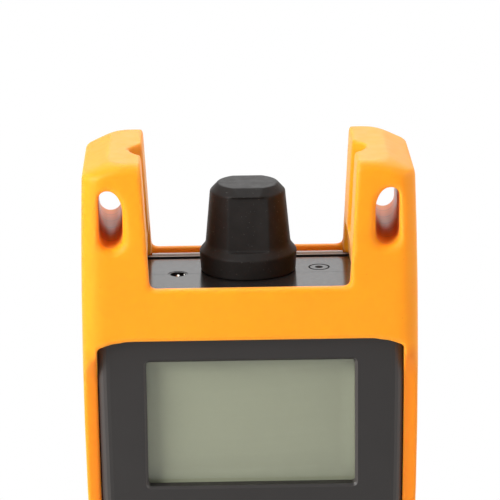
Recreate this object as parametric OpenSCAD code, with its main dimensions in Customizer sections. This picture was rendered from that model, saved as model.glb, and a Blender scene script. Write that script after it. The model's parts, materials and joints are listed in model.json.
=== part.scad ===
// Handheld optical light source in a moulded rubber boot
// X runs across, Y from the front to the back and Z up. It stands on its bottom end.

/* [Boot] */
// Width of the boot at its widest level
boot_w = 80; // [79:0.1:82]
// Depth of the boot from the front band to its back
boot_d = 40; // [39.6:0.1:42]
// Height of the boot from its bottom to the horn tops
boot_h = 175; // [172:0.5:184]
// Level where the boot is widest
wide_z = 122; // [117:0.5:126]
// Radius of the sides' bow above the widest level
bow_up_r = 1500; // [1300:10:1700]
// Radius of the sides' bow below the widest level
bow_low_r = 1200; // [1100:10:1600]
// Radius of the bottom corners, seen from the front
bottom_corner_r = 12; // [10:0.5:13]
// Radius of the round edge at the bottom
bottom_edge_r = 3.5; // [2.5:0.1:4]
// Radius of the boot's upright front corners
boot_front_r = 5; // [4.4:0.1:5.5]
// Radius of the boot's upright back corners
boot_back_r = 5; // [4:0.1:5.5]
// Thickness of the band across the front
band_t = 2.85; // [2.7:0.05:3]
// Thickness of the back wall
boot_back_t = 2.05; // [1.9:0.05:2.3]
// Thickness of the side walls
boot_side_t = 3.1; // [3:0.05:3.3]
// Thickness of the bottom
boot_bottom_t = 3.5; // [3:0.1:4]
// Gap between the boot and the housing
boot_gap = 0.15; // [0.1:0.01:0.2]

/* [Horns] */
// Height of the horns above the top panel
horn_h = 31.6; // [30.5:0.1:33]
// How far the horns' front faces lean back at the top
horn_lean = 1.4; // [1:0.1:1.8]
// Half width of the flat on top of the horns
horn_flat_x = 33; // [32:0.1:33.6]
// Height of the sloping shoulder of each horn
horn_slope_h = 2.6; // [2.2:0.1:3]
// Radius of the corner between the shoulder and the side
horn_corner_r = 1.2; // [1:0.1:1.6]
// Radius of the round front edge along the horn tops
horn_front_r = 2.5; // [2:0.1:2.8]
// Radius of the crisper back edge along the horn tops
horn_back_r = 0.9; // [0.6:0.1:1.2]
// Width between the horns at the top
notch_top_w = 50.5; // [49.5:0.1:51.5]
// Width between the horns at the bottom
notch_low_w = 47.4; // [46.5:0.1:48]
// Radius of the notch's bottom corners
notch_corner_r = 1.2; // [0.8:0.1:1.6]
// Height of the band and the back wall above the panel
rim_rise = 1.7; // [1.5:0.1:2]
// Depth of the relief at the foot of each horn
foot_relief = 1.2; // [0.8:0.1:1.5]
// Height of that relief above the panel
foot_relief_h = 8.3; // [7:0.1:9]
// Half length of that relief, from front to back
foot_relief_y = 15; // [14:0.1:15.5]
// Depth of the groove inside each horn
groove_depth = 3; // [2.4:0.1:3.2]
// Distance of the groove's front corner from the middle
groove_front = 7.3; // [6.5:0.1:8]
// Distance of the groove's back corner from the middle
groove_back = 4.7; // [4:0.1:5.5]
// Level of the groove's foot above the panel
groove_foot = 9.3; // [9.1:0.1:11]

/* [Lanyard slots] */
// Distance of the slots from the middle
slot_x = 33; // [32.6:0.1:33.3]
// Width of a slot
slot_w = 5.6; // [5.2:0.1:5.8]
// Height of a slot
slot_h = 14.1; // [13:0.1:14.6]
// Distance from the horn tops to the slots
slot_drop = 6.1; // [5.8:0.1:7]
// Radius of a slot's outer top corner
slot_outer_r = 2; // [1.6:0.1:2.2]
// Height of a slot's rounded inner top corner
slot_inner_h = 5.5; // [4.5:0.1:6]
// Bevel round both ends of a slot
slot_bevel = 0.9; // [0.6:0.1:1.1]
// Sideways shift of a slot between the front and the back
slot_shift = 1.2; // [0.8:0.1:1.4]

/* [Front opening] */
// Distance from the panel down to the band's lower edge
band_h = 11.2; // [11:0.1:12]
// Half width of the straight part of that edge
band_straight_x = 28; // [27:0.1:29.5]
// Radius of the curved ends of that edge
band_end_r = 21; // [20:0.5:26]
// Bevel of that edge
band_bevel = 0.9; // [0.6:0.1:1.1]
// Width of the side rails
rail_w = 3.5; // [3.4:0.05:3.6]
// How far the band stands proud of the rails
rail_step = 4; // [3.7:0.1:4.2]
// Height of the sweep from the band to a rail
rail_sweep_h = 9; // [7:0.5:11]
// Level of the opening's lower edge
opening_z = 15; // [14:0.5:16]
// Radius of the opening's lower corners
opening_r = 7; // [6:0.5:8]

/* [Back opening] */
// Half width of the opening in the back of the boot
back_open_x = 26.5; // [26:0.1:27]
// Level of its lower edge
back_open_z = 12; // [11.5:0.1:12.4]
// Height of the opening
back_open_h = 61; // [60.5:0.1:63]
// Radius of its corners
back_open_r = 5; // [4:0.5:6]

/* [Housing] */
// Wall thickness of the shells
shell_t = 2; // [1.8:0.05:2]
// Radius of the housing's upright front edges
house_front_r = 3.2; // [3:0.1:3.6]
// Radius of the housing's upright back edges
house_back_r = 3.5; // [3:0.1:4]
// Radius of the housing's bottom corners
house_corner_r = 9; // [8:0.5:9.5]
// Radius of the housing's top corners
house_top_r = 2.4; // [2.1:0.1:2.8]
// Radius of the housing's top and bottom edges
house_edge_r = 0.9; // [0.6:0.1:1.2]
// Seam between the two shells
seam = 0.1; // [0.06:0.01:0.14]
// Distance from the back face to the panel's drain groove
drain_y = 2.3; // [2.2:0.05:2.4]
// Width of the drain groove
drain_w = 2.4; // [2.2:0.1:2.6]
// Depth of the drain groove
drain_depth = 1.2; // [0.8:0.1:1.3]
// Half length of the drain groove
drain_x = 24.8; // [24.5:0.1:25]
// Distance from the back face to the middle of the bead behind the drain groove
bead_y = 0.95; // [0.9:0.05:1]
// Radius of that bead
bead_r = 0.6; // [0.5:0.05:0.65]

/* [Display] */
// Width of the display window
window_w = 49.8; // [49:0.1:50.2]
// Height of the display window
window_h = 31.4; // [31:0.1:31.6]
// Distance from the panel down to the window
window_drop = 17; // [16.8:0.1:17.2]
// Radius of the window's corners
window_r = 0.8; // [0.5:0.1:1.2]
// Bevel round the window
window_bevel = 0.6; // [0.4:0.05:0.7]
// Depth of the window's frame
window_depth = 3.15; // [3:0.05:3.2]
// Width of the rim behind the window
window_rim = 1.6; // [1.4:0.1:1.8]
// Thickness of the clear window
lens_t = 1; // [0.9:0.05:1.05]
// Overlap of the clear window behind the rim
lens_lap = 2.2; // [2:0.1:2.4]
// Thickness of each glass plate of the display
glass_t = 1.1; // [1:0.02:1.12]
// Overlap of the display's rear plate behind the window
glass_lap = 2; // [1.8:0.1:2.1]
// Height of the display's contact ledges
ledge_h = 2.4; // [2.2:0.1:2.5]
// Thickness of the backlight
backlight_t = 2.2; // [2:0.05:2.25]
// Width of the elastomer strips
strip_w = 1.7; // [1.5:0.1:1.8]
// Side wall of the display holder
holder_wall = 2; // [1.6:0.1:2.2]

/* [Keys] */
// Distance of the outer keys from the middle
key_x = 15.5; // [15:0.1:16]
// Width of an oval key
key_w = 17; // [16:0.1:18]
// Height of an oval key
key_h = 9.6; // [9:0.1:10.4]
// Number of key heights from the window down to the opening's lower edge
key_rows = 5; // [4.8:0.1:5.2]
// Diameter of the power key
power_d = 14; // [13:0.1:15]
// How far the keys stand out of the housing
key_rise = 1.1; // [0.9:0.05:1.2]
// Height of the dome on top of a key
key_crown = 0.35; // [0.2:0.05:0.4]
// Travel of a key
key_travel = 1; // [0.8:0.05:1]
// Gap round a key
key_gap = 0.35; // [0.3:0.01:0.4]
// Width of the flange that keeps a key in
key_lip = 0.9; // [0.8:0.05:1.1]
// Thickness of that flange
key_lip_t = 0.8; // [0.7:0.05:0.85]
// Diameter of the plunger behind a key
plunger_d = 4; // [3.6:0.1:4.2]
// Thickness of the key mat
mat_t = 1; // [0.9:0.05:1]
// Diameter of a switch dome
dome_d = 8; // [7:0.1:9]
// Height of a switch dome
dome_h = 0.35; // [0.3:0.01:0.38]

/* [Board] */
// Distance from the housing's front face to the board
board_y = 9; // [8.95:0.01:9.05]
// Thickness of the board
board_t = 1.6; // [1.5:0.05:1.65]
// Width of the board
board_w = 59; // [58.5:0.1:60]
// Level of the board's lower edge
board_z = 24; // [23.5:0.1:25]
// Distance from the panel to the board's upper edge
board_drop = 5.4; // [5.2:0.1:5.6]
// Half width of the board between the upper bosses
board_neck_x = 25; // [24.5:0.1:25.5]
// Height of the cut corners of the board
board_notch_h = 13; // [12.6:0.1:13.2]
// Radius of a board standoff
post_r = 2.3; // [2.1:0.1:2.4]
// Distance from the board's edge to the lower standoffs
post_inset = 2.1; // [2:0.05:2.3]
// Level of the lowest standoffs
post_low_z = 28; // [27.5:0.1:29]
// Distance from the display holder down to the middle standoffs
post_mid_drop = 3.8; // [3.7:0.1:4]
// Distance of the upper standoffs from the middle
post_up_x = 7; // [6.5:0.1:7.5]
// Distance from the panel to the upper standoffs
post_drop = 8; // [7.9:0.1:8.2]

/* [Optical port] */
// Distance of the port behind the seam
port_y = 4.3; // [4.3:0.05:4.5]
// Outer radius of the port's thread
port_r = 4; // [4:0.01:4.05]
// Radius of the port's flange
flange_r = 8; // [7.9:0.05:8.1]
// Thickness of the port's flange
flange_t = 1.6; // [1.5:0.05:1.7]
// Height of the port above the panel
port_h = 11; // [10.5:0.1:11.5]
// Radius of the port's inner socket
socket_r = 2.9; // [2.8:0.05:2.95]
// Depth of the port's inner socket
socket_h = 5; // [4.8:0.1:5.2]
// Width of the key slot in the port
keyway_w = 2; // [1.9:0.05:2.1]
// Depth of the key slot in the port
keyway_h = 4.2; // [4:0.1:4.6]
// Radius of the ferrule bore
ferrule_r = 1.25; // [1.25:0.01:1.27]
// Wall thickness of the alignment sleeve
sleeve_t = 0.35; // [0.3:0.01:0.4]
// Width of the slit in the sleeve
slit_w = 0.35; // [0.3:0.01:0.4]
// Height of the sleeve, which is the length of the ferrule bore
sleeve_h = 6; // [5.6:0.1:6.4]
// Distance from the top of the port to the sleeve
sleeve_drop = 1.8; // [1.6:0.1:2]
// Distance of the flange screws from the port's axis
port_screw_x = 6.1; // [6:0.05:6.15]
// Radius of the flange screws
port_screw_r = 0.9; // [0.85:0.01:1]
// Radius of the flange screws' heads
port_head_r = 1.6; // [1.5:0.05:1.7]
// Height of the flange screws' heads
port_head_h = 0.9; // [0.8:0.05:1]

/* [Dust cap] */
// Overall height of the dust cap
cap_h = 21.6; // [21:0.1:22.2]
// Radius of the collar at the panel
cap_foot_r = 11.5; // [11.3:0.05:11.7]
// Radius of the collar at its rim
cap_rim_r = 11.8; // [11.7:0.05:12]
// Height of the collar
cap_collar_h = 6.2; // [6:0.1:6.4]
// Height of the collar's sloping top
cap_slope_h = 1.4; // [1.2:0.1:1.6]
// Radius of the grip just above the collar
cap_grip_r = 10.3; // [10.1:0.05:10.4]
// Radius of the grip at the top bevel
cap_neck_r = 9.1; // [9:0.05:9.3]
// Radius of the cap's top face
cap_top_r = 7.25; // [7:0.05:7.5]
// Height of the top bevel
cap_bevel_h = 2; // [1.8:0.1:2.2]
// Distance of the top face's straight edges from the axis
cap_face_y = 6.3; // [6.1:0.1:6.5]
// Distance of the bevel's straight lower edges from the axis
cap_ledge_y = 8.8; // [8.6:0.1:8.9]
// Distance of the sunk grip flats from the axis, under the bevel
cap_flat_top = 7.8; // [7.6:0.1:8.1]
// Distance of the sunk grip flats from the axis, at the collar
cap_flat_low = 9.1; // [8.9:0.1:9.4]
// Gap between the cap and the panel
cap_gap = 0.1; // [0.08:0.01:0.15]
// Gap between the cap and the port
cap_play = 0.35; // [0.3:0.01:0.4]

/* [Power inlet] */
// Distance of the inlet from the middle
inlet_x = 17.07; // [17:0.01:17.2]
// Radius of the inlet's hole in the panel
inlet_hole_r = 2.45; // [2.45:0.01:2.5]
// Outer radius of the inlet's nose
inlet_nose_r = 2.38; // [2.35:0.01:2.4]
// Radius of the inlet's bore
inlet_bore_r = 1.9; // [1.85:0.01:1.95]
// Radius of the inlet's pin
inlet_pin_r = 0.65; // [0.6:0.01:0.7]
// Depth of the inlet's bore
inlet_depth = 9.5; // [9:0.1:10]
// Width of the inlet's block
inlet_w = 8.4; // [8:0.1:8.6]
// Height of the inlet's block
inlet_h = 11.5; // [11:0.1:12]
// Distance from the panel down to the inlet's mouth
inlet_drop = 0.1; // [0.1:0.05:0.3]
// Thickness of the inlet's contact leaf
leaf_t = 0.25; // [0.2:0.01:0.3]
// Width of the inlet's contact leaf
leaf_w = 1.4; // [1.2:0.05:1.5]

/* [Optical block] */
// Width of the optical block
block_w = 20; // [19:0.1:21]
// Depth of the optical block
block_d = 12; // [11.6:0.1:12.4]
// Height of the optical block
block_h = 22; // [21:0.1:23]
// Distance from the panel down to the block's top
block_drop = 9; // [8.6:0.1:9.4]
// Radius of the block's neck
neck_r = 3.4; // [3.2:0.05:3.6]
// Radius of a laser diode's base
diode_base_r = 2.8; // [2.7:0.02:2.9]
// Thickness of a laser diode's base
diode_base_t = 1.2; // [1.1:0.02:1.3]
// Radius of a laser diode's can
diode_can_r = 2.2; // [2.1:0.02:2.3]
// Height of a laser diode's can
diode_can_h = 3.4; // [3.2:0.05:3.6]
// Radius of a laser diode's leads
lead_r = 0.25; // [0.2:0.01:0.3]
// Length of a laser diode's leads
lead_h = 6; // [5:0.1:7]

/* [Battery bay] */
// Diameter of a cell
cell_d = 14.5; // [14.4:0.01:14.5]
// Length of a cell
cell_h = 50.5; // [50.2:0.1:50.5]
// Space between two cells
cell_space = 0.7; // [0.5:0.05:0.8]
// Diameter of a cell's positive cap
cell_cap_d = 5.5; // [5.3:0.05:5.5]
// Height of a cell's positive cap
cell_cap_h = 1.2; // [1:0.05:1.3]
// Level of the bay's floor
bay_z = 13.8; // [13.7:0.05:14]
// Height of the bay
bay_h = 56.6; // [56.4:0.1:57]
// Wall thickness of the bay
bay_wall = 1.2; // [1:0.05:1.3]
// Play between the door and its opening
door_gap = 0.35; // [0.3:0.01:0.4]
// Width of the door's hinge tongues
tongue_w = 5; // [4.5:0.1:5.5]
// Height of the door's hinge tongues below the door
tongue_h = 2.2; // [2:0.05:2.3]
// Thickness of the door's hinge tongues
tongue_t = 1; // [0.9:0.02:1.1]
// Distance of the hinge tongues from the middle
tongue_x = 14; // [13:0.1:15]
// Number of grip ribs on the door
rib_n = 5; // [3:1:6]
// Width of the door's grip ribs
rib_w = 18; // [16:0.5:20]
// Spacing of the door's grip ribs
rib_pitch = 2.4; // [2.2:0.05:2.6]
// Depth of the grooves between the ribs
rib_depth = 0.5; // [0.4:0.05:0.6]
// Thickness of the contact plates
contact_t = 0.4; // [0.3:0.01:0.5]
// Width of a contact plate
contact_w = 9; // [8.5:0.1:9.5]

/* [Screws] */
// Distance from the housing's sides to the upper housing screws
screw_up_in = 5.6; // [5.4:0.1:5.8]
// Distance from the panel down to the upper housing screws
screw_drop = 7.6; // [7.4:0.1:7.8]
// Distance from the housing's sides to the lower housing screws
screw_low_in = 7.5; // [7.2:0.1:8]
// Level of the lower housing screws
screw_low_z = 9.2; // [9.2:0.1:9.6]
// Radius of the housing screws
screw_r = 1.25; // [1.2:0.01:1.3]
// Radius of the housing screws' heads
screw_head_r = 2.2; // [2.1:0.01:2.3]
// Height of the housing screws' heads
screw_head_h = 1.5; // [1.4:0.05:1.6]
// Outer radius of the screw bosses
boss_r = 3.2; // [3.1:0.05:3.3]
// Depth of the sunk screw holes in the back
sink_depth = 7; // [6.5:0.1:7.5]
// Radius of the board screws
pcb_screw_r = 0.9; // [0.85:0.01:1]
// Radius of the board screws' heads
pcb_head_r = 1.8; // [1.7:0.05:1.9]
// Height of the board screws' heads
pcb_head_h = 1.2; // [1:0.05:1.3]

/* [Hidden] */
$fn = 48;

// Thickness of the sheets that a blended form spans between, a small share of the shell's wall
sheet_t = shell_t / 100;
// Reach of a cutting tool past the faces it cuts
past = band_t / 2;
// Steps in a quarter turn of a blended corner
corner_steps = 6;
// Steps along a curved edge
edge_steps = 10;

panel_z = boot_h - horn_h;
rim_z = panel_z + rim_rise;
front_y = -boot_d / 2 + band_t + boot_gap;
back_y = boot_d / 2 - boot_back_t - boot_gap;
house_z = boot_bottom_t + boot_gap;
band_z = panel_z - band_h;
slot_z = boot_h - slot_drop - slot_h;
lean_z = panel_z - horn_lean;

screw_up_z = panel_z - screw_drop;
window_top = panel_z - window_drop;
window_z = window_top - window_h / 2;
lens_y = front_y + window_depth;
glass_y = lens_y + lens_t;
rear_glass_y = glass_y + glass_t;
backlight_y = rear_glass_y + glass_t;
pcb_y = front_y + board_y;
pcb_back = pcb_y + board_t;
pcb_top = panel_z - board_drop;
glass_h = window_h + 2 * glass_lap;
glass_w = window_w + 2 * glass_lap;
holder_w = glass_w + 2 * holder_wall;
holder_h = glass_h + 2 * ledge_h + 2 * holder_wall;

key_pitch = (window_top - window_h - opening_z) / key_rows;
key_up_z = window_top - window_h - key_pitch * 9 / 8;
key_low_z = key_up_z - key_pitch;
power_z = key_low_z - key_pitch * 9 / 8;
post_x = board_w / 2 - post_inset;
post_mid_z = window_z - holder_h / 2 - post_mid_drop;

wall_y = front_y + shell_t;
lip_y = wall_y + sheet_t;
mat_y = lip_y + key_lip_t + key_travel + seam;
plunger_y = pcb_y - dome_h - key_travel - seam;

port_top = panel_z + port_h;
sleeve_top = port_top - sleeve_drop;
sleeve_foot = sleeve_top - sleeve_h;
block_top = panel_z - block_drop;
block_foot = block_top - block_h;

inlet_mouth = panel_z - inlet_drop;
inlet_foot = panel_z - shell_t - inlet_h;

door_z = bay_z + door_gap;
door_h = bay_h - 2 * door_gap;
bay_half = cell_d * 3 / 2 + cell_space * 2;
door_y = back_y - shell_t;
cell_y = door_y - cell_d / 2 - cell_space;
cell_z = bay_z + bay_h / 2 - cell_h / 2;
bay_front = cell_y - cell_d / 2 - cell_space / 2;

// Half width of the boot's side at level z
function side_x(z) = boot_w / 2 - pow(z - wide_z, 2) / (2 * (z > wide_z ? bow_up_r : bow_low_r));

// How far an edge rounded with radius r is drawn in at distance d from its end
function round_in(r, d) = d >= r ? 0 : r - sqrt(r * r - pow(r - max(d, 0), 2));

// Half width of the front opening at level z
function opening_x(z) = side_x(z) - rail_w;

// Half width of the housing at level z
function house_x(z) = side_x(z) - boot_side_t - boot_gap;

// Points of an arc round (x, y) from angle a to angle b
function arc(x, y, rx, ry, a, b, steps) =
    [for (i = [0:steps]) let(t = a + (b - a) * i / steps) [x + rx * cos(t), y + ry * sin(t)]];

// Outline of a box with half width hx, from y0 to y1, with its own radii in front and at the back
function plan_points(hx, y0, y1, rf, rb, steps) = concat(
    arc(-hx + rf, y0 + rf, rf, rf, 180, 270, steps),
    arc(hx - rf, y0 + rf, rf, rf, 270, 360, steps),
    arc(hx - rb, y1 - rb, rb, rb, 0, 90, steps),
    arc(-hx + rb, y1 - rb, rb, rb, 90, 180, steps)
);

// Outline of a rectangle with rounded corners, centred
function round_rect(w, h, r, steps) = plan_points(w / 2, -h / 2, h / 2, r, r, steps);

// Turns an outline drawn in X and Z into a solid from y0 to y1
module across_y(y0, y1) {
    translate([0, y1, 0])
        rotate([90, 0, 0])
            linear_extrude(y1 - y0)
                children();
}

// Turns an outline drawn in Y and Z into a solid from x0 to x1
module across_x(x0, x1) {
    translate([x0, 0, 0])
        rotate([90, 0, 90])
            linear_extrude(x1 - x0)
                children();
}

// A cylinder along Y from y0 to y1 at (x, z)
module rod_y(x, z, r, y0, y1) {
    translate([x, y1, z])
        rotate([90, 0, 0])
            cylinder(r = r, h = y1 - y0);
}

module both_sides() {
    children();
    mirror([1, 0, 0])
        children();
}

// Boot

// Levels of the sections that the boot's outer form spans
function boot_levels() = concat(
    [for (share = [0, 0.06, 0.2, 0.45, 0.75]) bottom_corner_r * share],
    [for (i = [0:8]) bottom_corner_r + (lean_z - bottom_corner_r) * i / 8],
    [for (share = [0.3, 0.65, 1]) lean_z + (boot_h - horn_slope_h - horn_corner_r - lean_z) * share],
    [for (share = [0.66, 0.33, 0]) boot_h - horn_slope_h - horn_corner_r * share],
    [for (share = [1, 0.6, 0.3, 0.1]) boot_h - horn_front_r * share],
    [boot_h - horn_back_r, boot_h - sheet_t]
);

// Half width of the boot's outer form, with its bottom corners and its horn shoulders
function boot_half(z) =
    let(
        drop = boot_h - z,
        edge_x = side_x(boot_h - horn_slope_h) - round_in(horn_corner_r, horn_corner_r / 5)
    )
    drop < horn_slope_h
        ? horn_flat_x + (edge_x - horn_flat_x) * drop / horn_slope_h
        : side_x(z) - round_in(bottom_corner_r, z)
            - round_in(horn_corner_r, drop - horn_slope_h + horn_corner_r / 5);

// Share of the horns' lean at level z
function lean(z) = z < lean_z ? 0 : horn_lean * (z - lean_z) / (boot_h - lean_z);

module boot_form() {
    hull()
        for (z = boot_levels()) {
            foot_in = round_in(bottom_edge_r, z);
            translate([0, 0, z])
                linear_extrude(sheet_t)
                    polygon(plan_points(
                        boot_half(z),
                        -boot_d / 2 + lean(z) + foot_in + round_in(horn_front_r, boot_h - z),
                        boot_d / 2 - foot_in - round_in(horn_back_r, boot_h - z),
                        boot_front_r,
                        boot_back_r,
                        corner_steps
                    ));
        }
}

// Outline of the opening over the front of the housing, grown up and down by g
function opening_points(g) = concat(
    [for (i = [-edge_steps:edge_steps])
        let(x = opening_x(band_z) * i / edge_steps)
        [x, band_z + g - round_in(band_end_r, band_end_r - max(abs(x) - band_straight_x, 0))]],
    [for (i = [1:edge_steps - 1])
        let(z = band_z - (band_z - opening_z - opening_r) * i / edge_steps - band_end_r / edge_steps)
        [opening_x(z), z]],
    arc(opening_x(opening_z) - opening_r, opening_z - g + opening_r, opening_r, opening_r,
        0, -90, corner_steps),
    arc(-opening_x(opening_z) + opening_r, opening_z - g + opening_r, opening_r, opening_r,
        270, 180, corner_steps),
    [for (i = [edge_steps - 1:-1:1])
        let(z = band_z - (band_z - opening_z - opening_r) * i / edge_steps - band_end_r / edge_steps)
        [-opening_x(z), z]]
);

// The rails lie deeper than the band and meet it in a sweep
module rail_recess() {
    end_z = band_z - round_in(band_end_r, band_end_r - opening_x(band_z) + band_straight_x);
    steps = edge_steps;
    outline = concat(
        [[-boot_d, end_z]],
        [for (i = [0:steps])
            let(t = i / steps)
            [-boot_d / 2 + rail_step * (1 - cos(180 * t)) / 2, end_z - rail_sweep_h * t]],
        [for (i = [steps:-1:0])
            let(t = i / steps)
            [-boot_d / 2 + rail_step * (1 - cos(180 * t)) / 2, opening_z + rail_sweep_h * t]],
        [[-boot_d, opening_z]]
    );
    both_sides()
        across_x(opening_x(opening_z) - opening_r, boot_w)
            polygon(outline);
}

module front_opening() {
    across_y(-boot_d, front_y + house_front_r)
        polygon(opening_points(0));
    hull() {
        across_y(-boot_d / 2 + band_bevel - sheet_t, -boot_d / 2 + band_bevel)
            polygon(opening_points(0));
        across_y(-boot_d / 2 - sheet_t, -boot_d / 2)
            polygon(opening_points(band_bevel));
    }
}

// Outline of the notch between the horns, as wide as its walls lean
module notch() {
    low = notch_low_w / 2;
    top = notch_top_w / 2;
    r = notch_corner_r;
    across_y(-boot_d, boot_d)
        polygon(concat(
            arc(low - r, rim_z + r, r, r, 0, -90, corner_steps),
            arc(-low + r, rim_z + r, r, r, 270, 180, corner_steps),
            [[-top, boot_h], [-top, boot_h + past], [top, boot_h + past], [top, boot_h]]
        ));
}

// The panel lies open between the band and the back wall
module panel_opening() {
    translate([-notch_low_w / 2, front_y - boot_gap, panel_z - past])
        cube([notch_low_w, back_y - front_y + 2 * boot_gap, rim_rise + 2 * past]);
}

// The foot of each horn stands back from the panel, and a groove runs up the horn's inner face
module horn_details() {
    both_sides() {
        translate([0, -foot_relief_y, panel_z - past])
            cube([notch_low_w / 2 + foot_relief, 2 * foot_relief_y, foot_relief_h + past]);
        translate([0, 0, panel_z + groove_foot])
            linear_extrude(horn_h)
                polygon(concat(
                    [[0, -groove_front]],
                    arc(notch_top_w / 2 - groove_depth / 4, 0, groove_depth * 5 / 4, groove_front,
                        -90, 0, corner_steps * 2),
                    [[notch_top_w / 2, groove_back], [0, groove_back]]
                ));
    }
}

// Outline of a slot about its own centre line, grown by g
function slot_points(g) =
    let(
        half = slot_w / 2 + g,
        low = slot_z - g,
        top = slot_z + slot_h + g,
        inner_w = slot_w - slot_outer_r + g,
        outer_r = slot_outer_r + g
    )
    concat(
        arc(0, low + half, half, half, 180, 360, corner_steps * 3),
        arc(half - outer_r, top - outer_r, outer_r, outer_r, 0, 90, corner_steps),
        arc(-half + inner_w, top - slot_inner_h - g, inner_w, slot_inner_h + g, 90, 180, corner_steps * 2)
    );

module lanyard_slot() {
    front = -boot_d / 2 + lean(slot_z + slot_h / 2);
    back = boot_d / 2;
    translate([slot_x, 0, 0])
        rotate([0, 0, -atan(slot_shift / boot_d)]) {
            across_y(-boot_d, boot_d)
                polygon(slot_points(0));
            hull() {
                across_y(front + slot_bevel - sheet_t, front + slot_bevel)
                    polygon(slot_points(0));
                across_y(front - slot_bevel, front - slot_bevel + sheet_t)
                    polygon(slot_points(2 * slot_bevel));
            }
            hull() {
                across_y(back - slot_bevel, back - slot_bevel + sheet_t)
                    polygon(slot_points(0));
                across_y(back + slot_bevel - sheet_t, back + slot_bevel)
                    polygon(slot_points(2 * slot_bevel));
            }
        }
}

module back_opening() {
    translate([0, 0, back_open_z + back_open_h / 2])
        across_y(door_y, boot_d)
            polygon(round_rect(2 * back_open_x, back_open_h, back_open_r, corner_steps * 2));
}

module rubber_boot() {
    color("orange")
        difference() {
            boot_form();
            house_form(boot_gap);
            rail_recess();
            front_opening();
            notch();
            panel_opening();
            horn_details();
            both_sides()
                lanyard_slot();
            back_opening();
        }
}

// Housing

// The housing's form, grown by g, or shrunk where g is negative
module house_form(g) {
    low = house_z - g;
    top = panel_z + g;
    levels = concat(
        [for (share = [0, 0.1, 0.35, 0.65, 1]) low + (house_corner_r + g) * share],
        [for (share = [0.25, 0.5, 0.75]) low + (wide_z - low) * share],
        [wide_z],
        [for (share = [1, 0.45, 0.1]) top - (house_top_r + g) * share],
        [top - sheet_t]
    );
    hull()
        for (z = levels) {
            drawn = round_in(house_edge_r, z - low) + round_in(house_edge_r, top - z);
            half = house_x(z) + g
                - round_in(house_corner_r + g, z - low) - round_in(house_top_r + g, top - z);
            translate([0, 0, z])
                linear_extrude(sheet_t)
                    polygon(plan_points(
                        half,
                        front_y - g + drawn,
                        back_y + g - drawn,
                        house_front_r + g,
                        house_back_r + g,
                        corner_steps
                    ));
        }
}

// A half space in front of the seam (side = -1) or behind it (side = 1)
module seam_half(side) {
    translate([-boot_w, side < 0 ? -boot_d : seam / 2, -past])
        cube([2 * boot_w, boot_d - seam / 2, boot_h + 2 * past]);
}

// Places of the housing screws, each [x, z]
screw_places = [
    for (side = [1, -1]) [side * (house_x(screw_up_z) - screw_up_in), screw_up_z],
    for (side = [1, -1]) [side * (house_x(screw_low_z) - screw_low_in), screw_low_z]
];

// Places of the board screws, each [x, z]
post_places = [
    [post_x, post_low_z],
    [-post_x, post_low_z],
    [post_x, post_mid_z],
    [-post_x, post_mid_z],
    [post_up_x, panel_z - post_drop],
    [-post_up_x, panel_z - post_drop]
];

// Keys, each [x, z, width, height]
KEY_PLACES = [
    [-key_x, key_up_z, key_w, key_h],
    [key_x, key_up_z, key_w, key_h],
    [-key_x, key_low_z, key_w, key_h],
    [key_x, key_low_z, key_w, key_h],
    [0, power_z, power_d, power_d]
];

// Outline of a key with round ends, grown by g
module key_outline(place, g) {
    w = place[2] + 2 * g;
    h = place[3] + 2 * g;
    translate([place[0], place[1]])
        if (w > h) {
            square([w - h, h], center = true);
            for (side = [-1, 1])
                translate([side * (w - h) / 2, 0])
                    circle(d = h);
        } else
            circle(d = h);
}

module front_housing() {
    color("dimgray")
        difference() {
            union() {
                intersection() {
                    difference() {
                        house_form(0);
                        house_form(-shell_t);
                    }
                    seam_half(-1);
                }
                translate([0, 0, window_z])
                    across_y(wall_y - sheet_t, lens_y)
                        polygon(round_rect(window_w + 2 * window_rim, window_h + 2 * window_rim,
                            window_r + window_rim, corner_steps));
                for (place = screw_places)
                    rod_y(place[0], place[1], boss_r, wall_y - sheet_t, -seam / 2);
                for (place = post_places)
                    rod_y(place[0], place[1], post_r, wall_y - sheet_t, pcb_y);
            }
            translate([0, 0, window_z]) {
                across_y(-boot_d, boot_d)
                    polygon(round_rect(window_w, window_h, window_r, corner_steps));
                hull() {
                    across_y(front_y + window_bevel - sheet_t, front_y + window_bevel)
                        polygon(round_rect(window_w, window_h, window_r, corner_steps));
                    across_y(front_y - sheet_t, front_y)
                        polygon(round_rect(window_w + 2 * window_bevel, window_h + 2 * window_bevel,
                            window_r + window_bevel, corner_steps));
                }
            }
            for (place = KEY_PLACES)
                across_y(-boot_d, wall_y + past)
                    key_outline(place, key_gap);
            for (place = screw_places)
                rod_y(place[0], place[1], screw_r, wall_y + shell_t, boot_d);
            for (place = post_places)
                rod_y(place[0], place[1], pcb_screw_r, wall_y + shell_t, boot_d);
            translate([-inlet_x, 0, panel_z - shell_t - past])
                cylinder(r = inlet_hole_r, h = shell_t + 2 * past);
        }
}

// The bay that holds the cells, closed towards the front
module bay_walls() {
    difference() {
        translate([-bay_half - bay_wall, bay_front - bay_wall, bay_z - bay_wall])
            cube([2 * (bay_half + bay_wall), door_y - bay_front + bay_wall + sheet_t, bay_h + 2 * bay_wall]);
        translate([-bay_half, bay_front, bay_z])
            cube([2 * bay_half, boot_d, bay_h]);
    }
}

// A bead along the panel, between the drain groove and the boot's back wall
module bead() {
    half = notch_low_w / 2 - boot_gap;
    translate([-half, back_y - bead_y, panel_z])
        rotate([0, 90, 0])
            cylinder(r = bead_r, h = 2 * half);
}

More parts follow.
